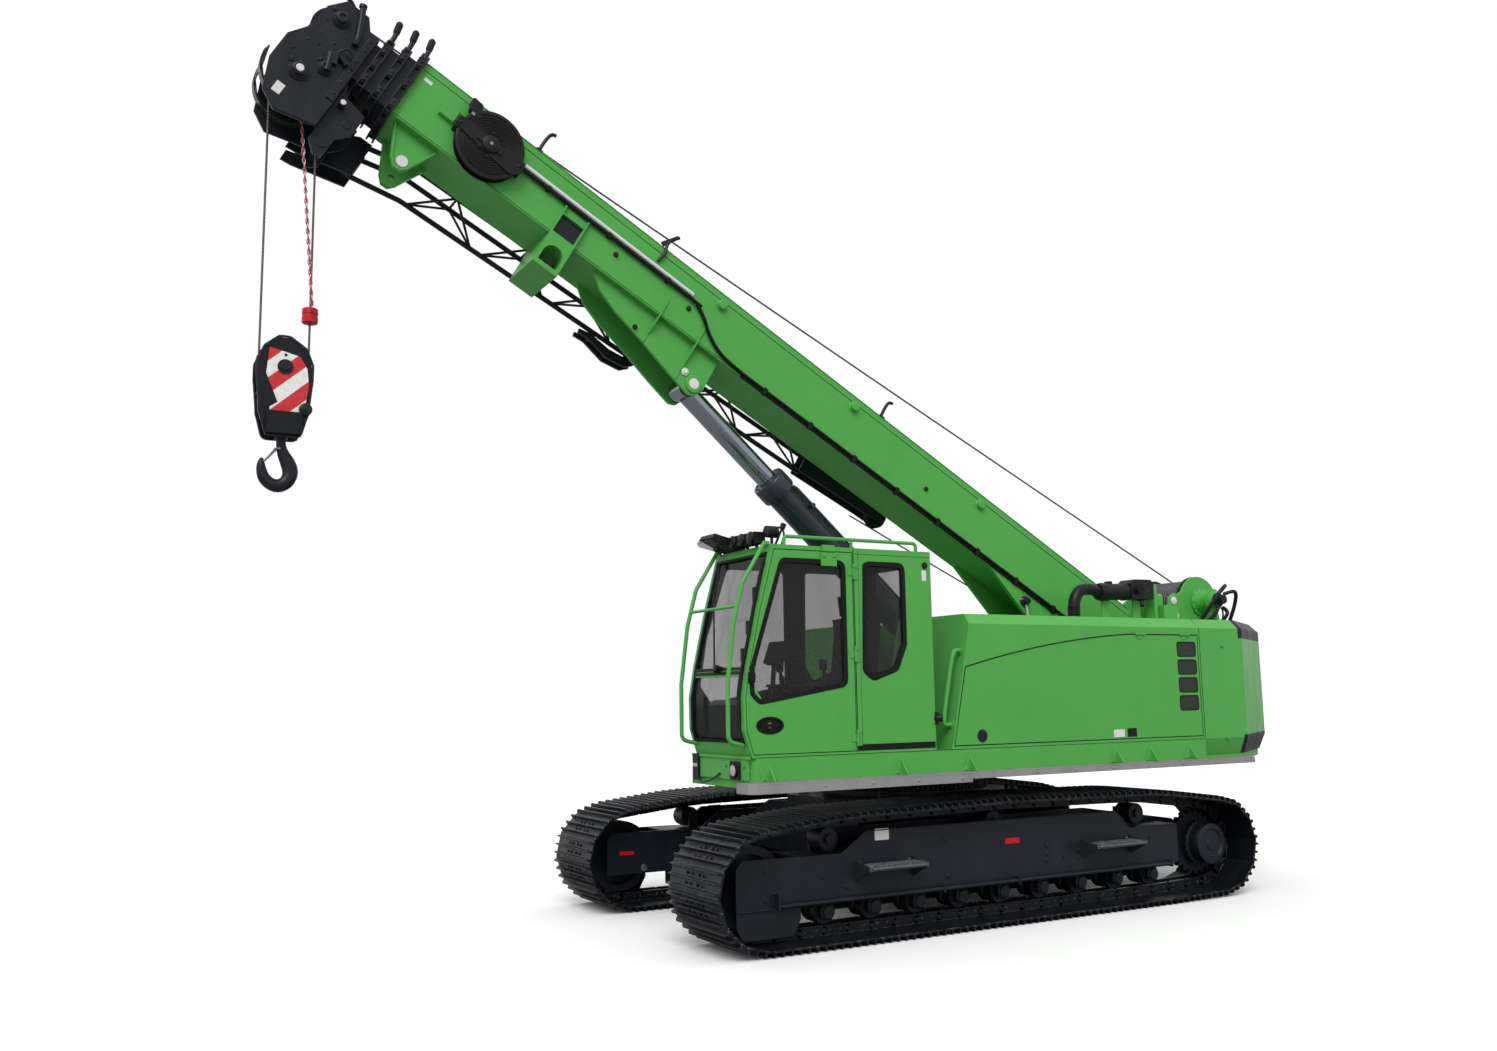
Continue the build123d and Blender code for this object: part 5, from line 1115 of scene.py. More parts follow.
weld = Shape(BOOM)
for side in (1, -1):
    for u in (4.963, 5.353, 6.238, 6.468):
        weld.tube([(u - 0.004, side * 0.252, 0.50), (u - 0.004, side * 0.252, 0.66)], 0.005, 6)
    weld.tube([(-0.28, side * COAT_FACE, 0.502), (7.90, side * COAT_FACE, 0.502)], 0.005, 6)
    weld.tube([(-0.28, side * COAT_FACE, 1.031), (7.90, side * COAT_FACE, 1.031)], 0.005, 6)
    # bosses and studs
    for u, v, r, h in ((4.935, 0.930, 0.042, 0.035), (3.410, 0.936, 0.042, 0.035),
                       (1.80, 0.936, 0.042, 0.035)):
        weld.turn((u, side * 0.250, v), (0, side, 0), [(0, r + 0.012), (0.008, r), (h, r),
                                                       (h + 0.006, r - 0.008), (h + 0.006, 0)], 24)
    weld.turn((4.808, side * 0.195, 0.200), (0, side, 0),
              [(0, 0.078), (0.014, 0.078), (0.018, 0.072), (0.018, 0.056)], 32)
    weld.turn((0, side * 0.250, 0), (0, side, 0), [(0, 0.135), (0.010, 0.135), (0.014, 0.128),
                                                   (0.014, 0.11)], 40)
    # cover plate near the front
    weld.prism(rounded([(7.515, 0.745), (7.635, 0.745), (7.635, 0.855), (7.515, 0.855)], 0.006, 2),
               side * 0.280, side * 0.284)
    weld.prism([(7.470, 0.500), (7.590, 0.230), (7.630, 0.178), (7.690, 0.178), (7.740, 0.235),
                (7.860, 0.500), (7.840, 0.500), (7.728, 0.250), (7.684, 0.192), (7.636, 0.192),
                (7.604, 0.240), (7.490, 0.500)], side * 0.184, side * 0.199)
weld.done("boom_welds", BASE_BODY, GREEN, "green_paint", 0.001)

studs_and_recess_shade = Shape(BOOM)
for side in (1, -1):
    for u, v in ((5.924, 0.701), (5.174, 0.714), (5.477, 0.303), (2.4, 0.72)):
        y = 0.250 if v > 0.5 else 0.195
        studs_and_recess_shade.turn((u, side * y, v), (0, side, 0), [(0, 0.022), (0.012, 0.022), (0.02, 0.016), (0.02, 0)], 12)
    # a thin dark sheet between the saddle's two ribs: painted shade for the shadowed recess there
    studs_and_recess_shade.box(6.255, 6.455, side * 0.2585, side * 0.2595, 0.517, 0.688)
# hooked posts that guard the rope: u, v at the foot, height
for u, v, h in ((6.868, 1.033, 0.19), (3.12, 1.033, 0.17)):
    studs_and_recess_shade.tube(curve_points([(u, 0.235, v - 0.01), (u, 0.235, v + h * 0.6), (u - 0.015, 0.235, v + h),
                            (u - 0.05, 0.235, v + h + 0.02)], 5), 0.015, 10)
    studs_and_recess_shade.box(u - 0.03, u + 0.03, 0.205, 0.262, v, v + 0.010)
studs_and_recess_shade.tube(curve_points([(5.600, 0.262, 0.89), (5.585, 0.275, 0.98), (5.600, 0.268, 1.06),
                        (5.585, 0.262, 1.13), (5.540, 0.262, 1.19)], 6), 0.014, 10)
studs_and_recess_shade.prism([(5.62, 1.03), (5.66, 1.05), (5.56, 1.20), (5.53, 1.19)], 0.255, 0.262)
studs_and_recess_shade.turn((0.93, 0.252, 0.400), ALONG_Y, [(0, 0.05), (0.02, 0.05), (0.03, 0.035), (0.06, 0.03), (0.06, 0)],
          20)
studs_and_recess_shade.done("boom_small_fittings_and_recess_shade", BASE_BODY, DARK, "dark_paint", 0.001)

pins = Shape(BOOM)
for side in (1, -1):
    pins.turn((4.925, side * 0.196, 0.245), (0, side, 0),
              [(0, 0.036), (0.010, 0.036), (0.012, 0.020), (0.022, 0.018), (0.022, 0)], 6)
    pins.turn((4.808, side * 0.210, 0.200), (0, side, 0), [(0, 0.048), (0.006, 0.044), (0.006, 0)], 24)
    pins.turn((7.653, side * 0.186, 0.260), (0, side, 0), [(0, 0.046), (0.005, 0.046), (0.005, 0.028)], 24)
pins.box(7.79, 7.86, BASE_FACE, 0.2520, 0.895, 0.925)
pins.tube([(0.98, 0.262, 0.40), (0.90, 0.275, 0.36), (0.84, 0.262, 0.30)], 0.010, 8)
pins.done("boom_bright_pins", BASE_BODY, WHITE, "green_paint", 0.001)

# the fixed cable: bright tube above, black cable below it, then along the crease
rail = Shape(BOOM)
rail.tube([(5.20, 0.270, 0.831), (6.895, 0.270, 0.831)], 0.0205, 14)
rail.done("bright_rail", BASE_BODY, TUBE, "step_metal")
cable = Shape(BOOM)
route = curve_points([(6.89, 0.276, 0.792), (5.24, 0.276, 0.792), (5.13, 0.272, 0.780), (5.02, 0.272, 0.716),
                      (4.90, 0.270, 0.618), (4.74, 0.268, 0.546), (4.52, 0.268, 0.522), (4.30, 0.268, 0.520)],
                      6)
cable.tube(route + [(0.30, 0.268, 0.520)], 0.015, 10)
cable.tube([(4.50, 0.262, 0.492), (0.55, 0.262, 0.492)], 0.011, 8)
for k in range(8):
    u = 0.60 + 0.52 * k
    cable.box(u - 0.018, u + 0.018, BASE_FACE, 0.286, 0.478, 0.540)
for u in (5.45, 6.05, 6.65):
    cable.box(u - 0.015, u + 0.015, BASE_FACE, 0.294, 0.772, 0.812)
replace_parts(cable.done("boom_cable", BASE_BODY, RUBBER, "black_plastic"), "cable_run")

reel = Shape(BOOM)
reel_at = Vector((7.198, 0.254, 0.750))
for k in range(15):
    r = 0.085 + 0.0105 * k
    ring = [(reel_at.x + dx, 0.3355 + 0.004 * (k % 2), reel_at.z + dz) for dx, dz in around(48, r)]
    reel.tube(ring, 0.006, 6, closed=True)
reel.turn(reel_at + Vector((0, 0.080, 0)), ALONG_Y,
          [(0, 0.277), (0.004, 0.277), (0.008, 0.270), (0.008, 0.246), (0.002, 0.244)], 64)
reel.turn(reel_at + Vector((0, 0.082, 0)), ALONG_Y, [(0, 0.075), (0.030, 0.070), (0.036, 0.060), (0.036, 0)],
          32)
for dx, dz in around(6, 0.10, 0.25):
    reel.box(reel_at.x + dx - 0.012, reel_at.x + dx + 0.012, 0.334, 0.350, reel_at.z + dz - 0.012,
             reel_at.z + dz + 0.012)
reel.prism([(6.905, 0.69), (6.96, 0.64), (7.44, 0.70), (7.50, 0.73), (7.50, 0.80), (6.905, 0.80)], 0.3465,
           0.352)
reel.prism(rounded([(7.36, 0.86), (7.47, 0.90), (7.50, 1.00), (7.40, 0.99)], 0.02), 0.270, 0.345)
reel.box(7.09, 7.31, 0.350, 0.362, 0.72, 0.78)
for u in (6.93, 7.47, 7.14, 7.26):
    reel.bolt((u, 0.352, 0.75), ALONG_Y, 0.010, 0.008)
reel.done("reel_windings", BASE_BODY, PLASTIC, "dark_paint", 0.0015)
shine = Shape(BOOM)
shine.box(7.415, 7.445, 0.3455, 0.349, 0.862, 0.885)
shine.bolt((7.20, 0.366, 0.75), ALONG_Y, 0.016, 0.010)
shine.done("reel_bright_parts", BASE_BODY, BOLT, "step_metal")


def collar_dress(name, body, u, half, low, high, finish, slot):
    # bolts on the pads, and the slotted adjusters between the two flanges
    dress = Shape(BOOM)
    for side in (1, -1):
        for v in (low + 0.060, (low + high) / 2, high - 0.060):
            dress.box(u + 0.014, u + 0.048, side * (half + 0.0335), side * (half + 0.043), v - 0.030,
                      v + 0.030)
            for dv in (-0.018, 0.018):
                dress.bolt((u + 0.031, side * (half + 0.043), v + dv), (0, side, 0), 0.008, 0.008)
            dress.rod((u - 0.004, side * (half + 0.026), v + 0.05),
                      (u + 0.066, side * (half + 0.026), v + 0.05), 0.008, 8)
        for z, way in ((high + 0.034, 1), (low - 0.034, -1)):
            y = side * 0.55 * half
            dress.box(u + 0.014, u + 0.048, y - 0.034, y + 0.034, z, z + way * 0.009)
            dress.bolt((u + 0.031, y, z + way * 0.009), (0, 0, way), 0.009, 0.008)
        for k in range(4):
            v = low + 0.02 + (high - low - 0.04) * k / 3
            dress.bolt((u + 0.0625, side * (half + 0.026), v), ALONG_X, 0.008, 0.006)
    dress.done(name, body, finish, slot, 0.001)


collar_dress("collar_fittings_1", BASE_BODY, 7.908, 0.250, 0.500, 1.033, DARK, "dark_paint")
collar_dress("collar_fittings_2", "section_2", 8.036, 0.220, 0.530, 1.003, DARK, "dark_paint")
collar_dress("collar_fittings_3", "section_3", 8.164, 0.190, 0.560, 0.973, DARK, "dark_paint")

# a dark skin over the first collar, which is painted with the inner sections
skin = Shape(BOOM)
for u0, u1 in ((7.9072, 7.9208), (7.9573, 7.9712)):
    for side in (1, -1):
        skin.prism([(side * COAT_FACE, 0.463), (side * 0.267, 0.4590), (side * 0.2915, 0.484),
                    (side * 0.2915, 1.049), (side * 0.267, 1.0742), (side * COAT_FACE, 1.070)], u0, u1, "x")
    skin.prism([(-0.26, 1.0345), (-0.266, 1.0742), (0.266, 1.0742), (0.26, 1.0345)], u0, u1, "x")
    skin.prism([(-0.26, 0.4985), (-0.266, 0.4588), (0.266, 0.4588), (0.26, 0.4985)], u0, u1, "x")
for side in (1, -1):
    skin.box(COLLAR_U0, COLLAR_U1, side * BASE_FACE, side * 0.2635, 0.487, 1.046)
    for v in (0.560, 0.7665, 0.973):
        skin.box(COLLAR_U0, COLLAR_U1, side * 0.26, side * 0.2852, v - 0.0435, v + 0.0435)
skin.box(COLLAR_U0, COLLAR_U1, -0.262, 0.262, 1.034, 1.0465)
skin.box(COLLAR_U0, COLLAR_U1, -0.262, 0.262, 0.4865, 0.499)
for y in (-0.1375, 0.1375):
    skin.box(COLLAR_U0, COLLAR_U1, y - 0.0515, y + 0.0515, 1.04, 1.0685)
    skin.box(COLLAR_U0, COLLAR_U1, y - 0.0515, y + 0.0515, 0.4645, 0.49)
skin.done("collar_skin", BASE_BODY, DARK, "dark_paint")


def rope_posts(name, body, u, top):
    posts = Shape(BOOM)
    for y in (0.17, -0.17):
        posts.tube([(u, y, top - 0.02), (u + 0.01, y, top + 0.10), (u + 0.02, y, top + 0.12)], 0.020, 12)
        posts.box(u - 0.03, u + 0.03, y - 0.03, y + 0.03, top, top + 0.012)
    posts.rod((u, -0.18, top + 0.045), (u, 0.18, top + 0.045), 0.014, 12)
    posts.done(name, body, DARK, "dark_paint", 0.001)
    caps = Shape(BOOM)
    for y in (0.17, -0.17):
        caps.rings([(u + 0.012, y, top + 0.10), (u + 0.016, y, top + 0.115), (u + 0.03, y, top + 0.19),
                    (u + 0.036, y, top + 0.205)], [0.022, 0.027, 0.027, 0.014], 16)
    caps.done(name + "_rollers", body, CAP, "step_metal")


rope_posts("rope_posts_1", BASE_BODY, 7.94, 1.0725)
rope_posts("rope_posts_2", "section_2", 8.068, 1.0425)
rope_posts("rope_posts_3", "section_3", 8.196, 1.0125)


# Head

head = Shape(BOOM)
for side in (1, -1):
    face = side * 0.212
    # doubler along the rear edge, and its bolts
    head.prism([(8.275, 0.300), (8.335, 0.300), (8.335, 0.930), (8.350, 0.960), (8.275, 0.940)], face,
               face + side * 0.012)
    for v in (0.36, 0.47, 0.58, 0.69, 0.80, 0.89):
        head.bolt((8.305, face + side * 0.012, v), (0, side, 0), 0.010, 0.008)
    for u, v in ((8.43, 0.66), (8.50, 0.70), (8.58, 0.62), (8.66, 0.60), (8.62, 0.70), (8.46, 0.80),
                 (8.64, 0.83), (8.70, 0.47)):
        head.bolt((u, face, v), (0, side, 0), 0.008, 0.006)
    # pin ends with keeper plates
    for u, v, r in ((LOWER_U, LOWER_V, 0.052), (UPPER_U, UPPER_V, 0.046), (8.452, 0.490, 0.036)):
        head.turn((u, face + side * 0.014, v), (0, side, 0),
                  [(0, r + 0.016), (0.010, r + 0.014), (0.010, r), (0.030, r),
                  (0.034, r - 0.006), (0.034, r * 0.5), (0.022, r * 0.45), (0.022, 0)], 32)
        head.box(u + r * 0.6, u + r * 1.9, face + side * 0.014, face + side * 0.024, v + r * 0.4, v + r * 1.1)
        head.bolt((u + r * 1.5, face + side * 0.024, v + r * 0.75), (0, side, 0), 0.008, 0.008)
    head.prism(rounded([(8.275, 0.060), (8.560, -0.020), (8.690, 0.060), (8.640, 0.200), (8.40, 0.240),
                        (8.275, 0.250)], 0.03), face, face + side * 0.006)
# rope guard bars across the nose
head.tube(curve_points([(8.56, -0.22, 1.05), (8.66, -0.22, 1.10), (8.74, -0.22, 1.09)], 5), 0.014, 10)
head.tube(curve_points([(8.50, 0.12, 1.055), (8.60, 0.12, 1.13), (8.73, 0.12, 1.10)], 5), 0.015, 10)
head.rod((8.70, -0.20, 0.66), (8.70, 0.20, 0.66), 0.018, 12)
head.rod((8.44, -0.20, 1.03), (8.44, 0.20, 1.03), 0.016, 12)
head.rod((8.60, -0.20, 1.045), (8.60, 0.20, 1.045), 0.012, 12)
head.tube([(8.380, 0.236, 0.780), (8.400, 0.236, 0.860), (8.490, 0.232, 1.085)], 0.024, 14)
head.rod((8.490, 0.232, 1.075), (8.498, 0.232, 1.100), 0.030, 14)
head.rod((8.385, 0.212, 0.80), (8.385, 0.262, 0.80), 0.018, 12)
# valve block and its lines on the near plate
head.prism(rounded([(8.40, 0.545), (8.47, 0.520), (8.50, 0.600), (8.43, 0.640)], 0.008, 3), 0.212, 0.262)
head.rod((8.43, 0.245, 0.46), (8.475, 0.245, 0.60), 0.026, 14)
head.rod((8.345, 0.236, 0.60), (8.435, 0.236, 0.64), 0.020, 12)
head.tube(curve_points([(8.45, 0.25, 0.62), (8.40, 0.26, 0.70), (8.34, 0.245, 0.68), (8.30, 0.24, 0.60)]),
          0.009, 8)
# frame below the collars that carries the stowed jib's foot
for y0, y1 in ((0.120, 0.142), (-0.142, -0.120)):
    head.prism([(8.270, 0.545), (8.270, -0.02), (8.180, -0.10), (8.120, -0.05), (8.120, 0.10), (8.040, 0.20),
                (8.040, 0.395), (8.230, 0.440)], y0, y1)
head.box(8.05, 8.27, -0.120, 0.120, 0.375, 0.392)
head.rod((8.180, -0.150, 0.020), (8.180, 0.150, 0.020), 0.045, 20)
head.rod((8.110, -0.150, 0.250), (8.110, 0.150, 0.250), 0.032, 16)
head.rod((8.215, 0.120, 0.350), (8.215, 0.215, 0.350), 0.026, 14)
head.done("head_fittings", "head", DARK, "dark_paint", 0.0015)

skirt = Shape(BOOM)
for side in (1, -1):
    outline = [(LOWER_U + 0.268 * math.cos(math.radians(a)),
                LOWER_V + 0.268 * math.sin(math.radians(a))) for a in range(-168, 1, 8)]
    outline += [(LOWER_U + 0.263 * math.cos(math.radians(a)),
                 LOWER_V + 0.263 * math.sin(math.radians(a))) for a in range(0, -169, -8)]
    y0, y1 = sorted((side * 0.113, side * 0.192))
    n = len(outline) // 2
    for k in range(n - 1):
        quad = [outline[k], outline[k + 1], outline[-k - 2], outline[-k - 1]]
        skirt.prism(quad, y0, y1)
skirt.done("sheave_skirt", "head", GUARD, "dark_paint")

pale = Shape(BOOM)
pale.box(8.585, 8.650, 0.2185, 0.2215, 0.085, 0.175)
pale.turn((8.578, 0.262, 0.345), ALONG_Y, [(0, 0.030), (0.004, 0.026), (0.004, 0)], 20)
pale.turn((8.215, 0.216, 0.350), ALONG_Y, [(0, 0.022), (0.004, 0.018), (0.004, 0)], 16)
pale.done("head_pale_plate", "head", WHITE, "step_metal")

wrap = Shape(BOOM)
line = []
for k in range(25):
    a = math.radians(92 - 4.2 * k)
    line.append((UPPER_U + 0.171 * math.cos(a), 0, UPPER_V + 0.171 * math.sin(a)))
line += [(UPPER_U + 0.171, 0, 0.75), (LOWER_U + 0.171, 0, 0.50)]
for k in range(18):
    a = math.radians(0 - 2.0 * k)
    line.append((LOWER_U + 0.171 * math.cos(a), 0, LOWER_V + 0.171 * math.sin(a)))
wrap.tube(line, 0.008, 8)
wrap.done("head_rope", "head", LINE, "rope_wire")


# Stowed jib

JIB_Y = -0.470
JIB_REAR = 3.300
JIB_BAY = 0.700
JIB_BAYS = 6
UPPERS = (JIB_Y - 0.125, JIB_Y + 0.125)


def jib_low(u):
    return 0.292 + (7.586 - u) * 0.0356


def jib_high(u):
    return 0.545 + (7.586 - u) * 0.0262


# one lower chord and two upper ones, laced in bays
jib = Shape(BOOM)
jib.tube([(JIB_REAR, JIB_Y, jib_low(JIB_REAR)), (7.500, JIB_Y, jib_low(7.500)), (7.930, JIB_Y, 0.205)],
         0.022, 14)
for y in UPPERS:
    jib.tube([(3.150, y, jib_high(3.150)), (7.560, y, jib_high(7.560)), (7.930, y, 0.440)], 0.022, 14)
for bay in range(JIB_BAYS):
    u = JIB_REAR + bay * JIB_BAY
    mid = u + JIB_BAY / 2
    for y in UPPERS:
        for foot in (u + 0.045, u + JIB_BAY - 0.045):
            jib.rod((foot, JIB_Y, jib_low(foot)), (mid, y, jib_high(mid)), 0.011, 8)
    jib.rod((mid, UPPERS[0], jib_high(mid)), (mid, UPPERS[1], jib_high(mid)), 0.011, 8)
# plated thin end with its sheave
for y in (JIB_Y - 0.080, JIB_Y + 0.065):
    jib.prism([(3.340, 0.425), (3.340, 0.677), (2.650, 0.670), (2.315, 0.610), (2.295, 0.540), (2.355, 0.475),
               (2.560, 0.470)], y, y + 0.015)
for u in (2.600, 3.140):
    jib.box(u, u + 0.040, UPPERS[0] - 0.022, UPPERS[1] + 0.022, 0.600, 0.640)
jib.turn((2.385, JIB_Y - 0.030, 0.545), ALONG_Y, [(0, 0.050), (0, 0.110), (0.008, 0.118), (0.022, 0.100),
                                                  (0.038, 0.100), (0.052, 0.118), (0.060, 0.110),
                                                  (0.060, 0.050)], 40)
jib.rod((2.385, JIB_Y - 0.090, 0.545), (2.385, JIB_Y + 0.090, 0.545), 0.025, 16)
# foot plates at the head end
for y in (UPPERS[0] - 0.012, UPPERS[1] - 0.012):
    jib.prism([(7.900, 0.165), (7.900, 0.480), (8.010, 0.480), (8.240, 0.330), (8.320, 0.350), (8.335, 0.290),
               (8.335, 0.150), (8.400, 0.130), (8.396, 0.040), (8.310, 0.050)], y, y + 0.024)
for u, v, r in ((7.960, 0.230, 0.030), (8.260, 0.240, 0.038), (8.120, 0.330, 0.026)):
    jib.rod((u, UPPERS[0] - 0.020, v), (u, UPPERS[1] + 0.020, v), r, 20)
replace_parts(jib.done("stowed_jib", BASE_BODY, DARK, "dark_paint", 0.001), "jib")

# brackets from the boom's side over the upper chords, and the clamp below the lower one
clamp = Shape(BOOM)
for u in (5.250, 7.540):
    v = jib_high(u) + 0.020
    clamp.box(u, u + 0.040, UPPERS[0] - 0.040, -0.250, v, v + 0.040)
low = jib_low(5.4)
for y in (JIB_Y - 0.070, JIB_Y + 0.040):
    clamp.prism([(5.180, low - 0.070), (5.240, low - 0.130), (5.420, low - 0.160), (5.640, low - 0.110),
                 (5.740, low - 0.120), (5.750, low - 0.085), (5.640, low - 0.060), (5.440, low - 0.080),
                 (5.300, low - 0.060), (5.260, low + 0.030), (5.200, low + 0.030)], y, y + 0.030)
for u, v in ((5.220, -0.030), (5.300, -0.095), (5.430, -0.120), (5.620, -0.085)):
    clamp.rod((u, JIB_Y - 0.090, low + v), (u, JIB_Y + 0.090, low + v), 0.020, 12)
clamp.box(5.215, 5.245, JIB_Y + 0.060, -0.250, low - 0.060, low - 0.030)
clamp.box(5.215, 5.245, -0.275, -0.250, low - 0.060, 0.620)
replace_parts(clamp.done("jib_clamp", BASE_BODY, DARK, "dark_paint", 0.002), "jib_bracket")


# Lift cylinder

lift = Shape(LIFT)
lift.turn((0, 0, 0), ALONG_X,
          [(3.455, 0.131), (3.456, 0.154), (3.475, 0.158), (3.600, 0.158), (3.612, 0.152), (3.622, 0.140),
          (3.624, 0.094)], 48)
for y, z in around(12, 0.124):
    lift.bolt((3.622, y, z), ALONG_X, 0.010, 0.010)
lift.turn((0, 0, 0), ALONG_X, [(0.120, 0.131), (0.121, 0.140), (0.170, 0.140), (0.175, 0.131)], 48)
lift.tube(curve_points([(0.35, 0.120, 0.06), (0.40, 0.150, 0.075), (0.60, 0.155, 0.075)],
                       5) + [(3.30, 0.155, 0.075)]
          + curve_points([(3.34, 0.155, 0.075), (3.42, 0.150, 0.075), (3.46, 0.125, 0.07)], 5), 0.014, 10)
for u in (0.9, 1.7, 2.5, 3.2):
    lift.box(u - 0.015, u + 0.015, 0.118, 0.172, 0.055, 0.095)
lift.done("lift_barrel_fittings", "lift_barrel", BARREL, "cylinder_paint", 0.001)


# Hook block

STRIPE_Y = 0.0815
CHEEK_Y = 0.0835
cheek = Shape(Matrix.Translation((LOWER.x, 0, BLOCK_Z)))
near = [(0.110, 0.135), (-0.100, 0.085), (-0.150, 0.000), (-0.165, -0.120), (-0.145, -0.260),
        (-0.100, -0.372), (-0.090, -0.470), (0.085, -0.445), (0.098, -0.300), (0.045, -0.262),
        (0.128, -0.055)]
cheek.prism(near, STRIPE_Y - 0.0005, STRIPE_Y + 0.002)
cheek.done("block_stripe_plate", "hook_block", STRIPES, "red_paint")
block = Shape(Matrix.Translation((LOWER.x, 0, BLOCK_Z)))
outline = rounded([(-0.030, 0.232), (0.050, 0.232), (0.150, 0.150), (0.197, 0.030), (0.197, -0.080),
                   (0.172, -0.330), (0.128, -0.512), (-0.122, -0.512), (-0.172, -0.330), (-0.197, -0.080),
                   (-0.197, 0.030), (-0.150, 0.150)], 0.06, 4)
slim = inset(outline, 0.016)
for y0, y1 in ((0.078, 0.0812), (-0.0825, -0.060)):
    block.ring_prism(outline, slim, y0, y1 + 0.004)
block.box(0.150, 0.178, -0.062, 0.062, -0.200, -0.186)
block.box(0.120, 0.158, -0.062, 0.062, -0.330, -0.316)
block.box(-0.178, -0.150, -0.062, 0.062, -0.200, -0.186)
for x in (0.165, -0.165):
    block.rod((x, -0.062, 0.085), (x, 0.062, 0.085), 0.016, 12)
for side in (1, -1):
    block.turn((0, side * CHEEK_Y, 0.0), (0, side, 0),
               [(0, 0.055), (0.006, 0.055), (0.006, 0.034), (0.014, 0.030), (0.014, 0)], 24)
    block.bolt((0.0, side * CHEEK_Y, 0.088), (0, side, 0), 0.008, 0.007)
    block.turn((-0.145, side * CHEEK_Y, -0.300), (0, side, 0),
               [(0, 0.046), (0.020, 0.046), (0.026, 0.036), (0.026, 0)], 20)
    for x, z in ((0.09, -0.47), (-0.09, -0.47), (-0.12, 0.15), (0.12, 0.15)):
        block.bolt((x, side * CHEEK_Y, z), (0, side, 0), 0.009, 0.008)
for r in (0.10, 0.13):
    for side in (1, -1):
        block.tube([(x, side * 0.013, z) for x, z in around(40, r)], 0.004, 6, closed=True)
block.done("block_frame", "hook_block", DARK, "dark_paint", 0.001)
wrap = Shape(Matrix.Translation((LOWER.x, 0, BLOCK_Z)))
under_half = [math.radians(a) for a in range(0, -181, -6)]
wrap.tube([(0.170 * math.cos(a), 0, 0.170 * math.sin(a)) for a in under_half], 0.008, 8)
wrap.done("block_rope", "hook_block", LINE, "rope_wire")

hook = Shape(Matrix.Translation((LOWER.x, 0, 3.447)))
# centre line in the hook's plane, half width there and half thickness
spine = [(0.000, 0.250, 0.030, 0.030), (0.000, 0.205, 0.033, 0.032), (-0.006, 0.160, 0.036, 0.033),
         (-0.024, 0.110, 0.044, 0.034), (-0.050, 0.060, 0.052, 0.036), (-0.069, 0.005, 0.054, 0.038),
         (-0.064, -0.045, 0.052, 0.040), (-0.038, -0.088, 0.049, 0.041), (0.012, -0.112, 0.048, 0.041),
         (0.064, -0.098, 0.045, 0.039), (0.104, -0.060, 0.042, 0.036), (0.123, -0.008, 0.036, 0.032),
         (0.128, 0.040, 0.027, 0.026), (0.126, 0.072, 0.016, 0.018), (0.126, 0.084, 0.006, 0.008)]
fine = curve_points(spine, 3)
sides_round = 20
points, faces = [], []
for k, (x, z, wide, thick) in enumerate(fine):
    a, b = fine[max(k - 1, 0)], fine[min(k + 1, len(fine) - 1)]
    way = Vector((b[0] - a[0], 0, b[1] - a[1])).normalized()
    across = Vector((way.z, 0, -way.x))
    for c, s in around(sides_round, 1.0):
        points.append(Vector((x, 0, z)) + across * wide * c + Vector(ALONG_Y) * thick * s)
for k in range(len(fine) - 1):
    for s in range(sides_round):
        t = (s + 1) % sides_round
        faces.append((k * sides_round + s, k * sides_round + t, (k + 1) * sides_round + t,
                      (k + 1) * sides_round + s))
faces += [tuple(range(sides_round))[::-1], tuple(range(len(points) - sides_round, len(points)))]
hook.add(points, faces)
hook.turn((0, 0, 0.225), UPWARD, [(0, 0.033), (0.002, 0.046), (0.030, 0.046), (0.034, 0.034), (0.16, 0.033)],
          24)
hook.turn((0, 0, 0.388), UPWARD, [(0.0005, 0.034), (0.001, 0.053), (0.036, 0.053), (0.040, 0.034)], 6)
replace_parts(hook.done("forged_hook", "hook", DARK, "dark_paint"), "hook")
latch = Shape(Matrix.Translation((LOWER.x, 0, 3.447)))
latch.tube([(0.012, 0.030, 0.150), (0.040, 0.022, 0.155), (0.112, 0.014, 0.060), (0.112, -0.014, 0.060),
            (0.040, -0.022, 0.155), (0.012, -0.030, 0.150)], 0.006, 8)
latch.prism([(0.030, 0.160), (0.046, 0.150), (0.108, 0.066), (0.100, 0.058), (0.028, 0.140)], -0.012, 0.012)
latch.rod((0.014, -0.040, 0.152), (0.014, 0.040, 0.152), 0.008, 12)
latch.done("hook_latch", "hook", BOLT, "step_metal")

# limit weight: two rings, and the chain up to the head
weight = Shape(Matrix.Translation((LOWER.x - 0.170, 0, BLOCK_Z + 0.420)))
weight.turn((0, 0, -0.060), UPWARD,
            [(0, 0.020), (0.001, 0.044), (0.008, 0.056), (0.045, 0.058), (0.054, 0.048), (0.064, 0.048),
            (0.073, 0.058), (0.110, 0.056), (0.118, 0.044), (0.119, 0.020)], 32)
weight.done("limit_weight_rings", "falls", RED, "red_paint")
chain = Shape()
a = Vector((LOWER.x - 0.170, 0.078, BLOCK_Z + 0.440))
b = Vector((LOWER.x - 0.030, 0.090, LOWER.z - 0.078))
count = 44
for k in range(count):
    p = a.lerp(b, (k + 0.5) / count)
    way = (b - a).normalized()
    flat = Vector(ALONG_X) if k % 2 else Vector(ALONG_Y)
    chain.tube([p + way * 0.026 * s + flat * 0.011 * c for c, s in around(12, 1.0)], 0.0035, 5, closed=True)
chain.done("limit_chain", "falls", BOLT, "rope_wire")


# Hoist rope over the boom: four lengths, each joined to the next

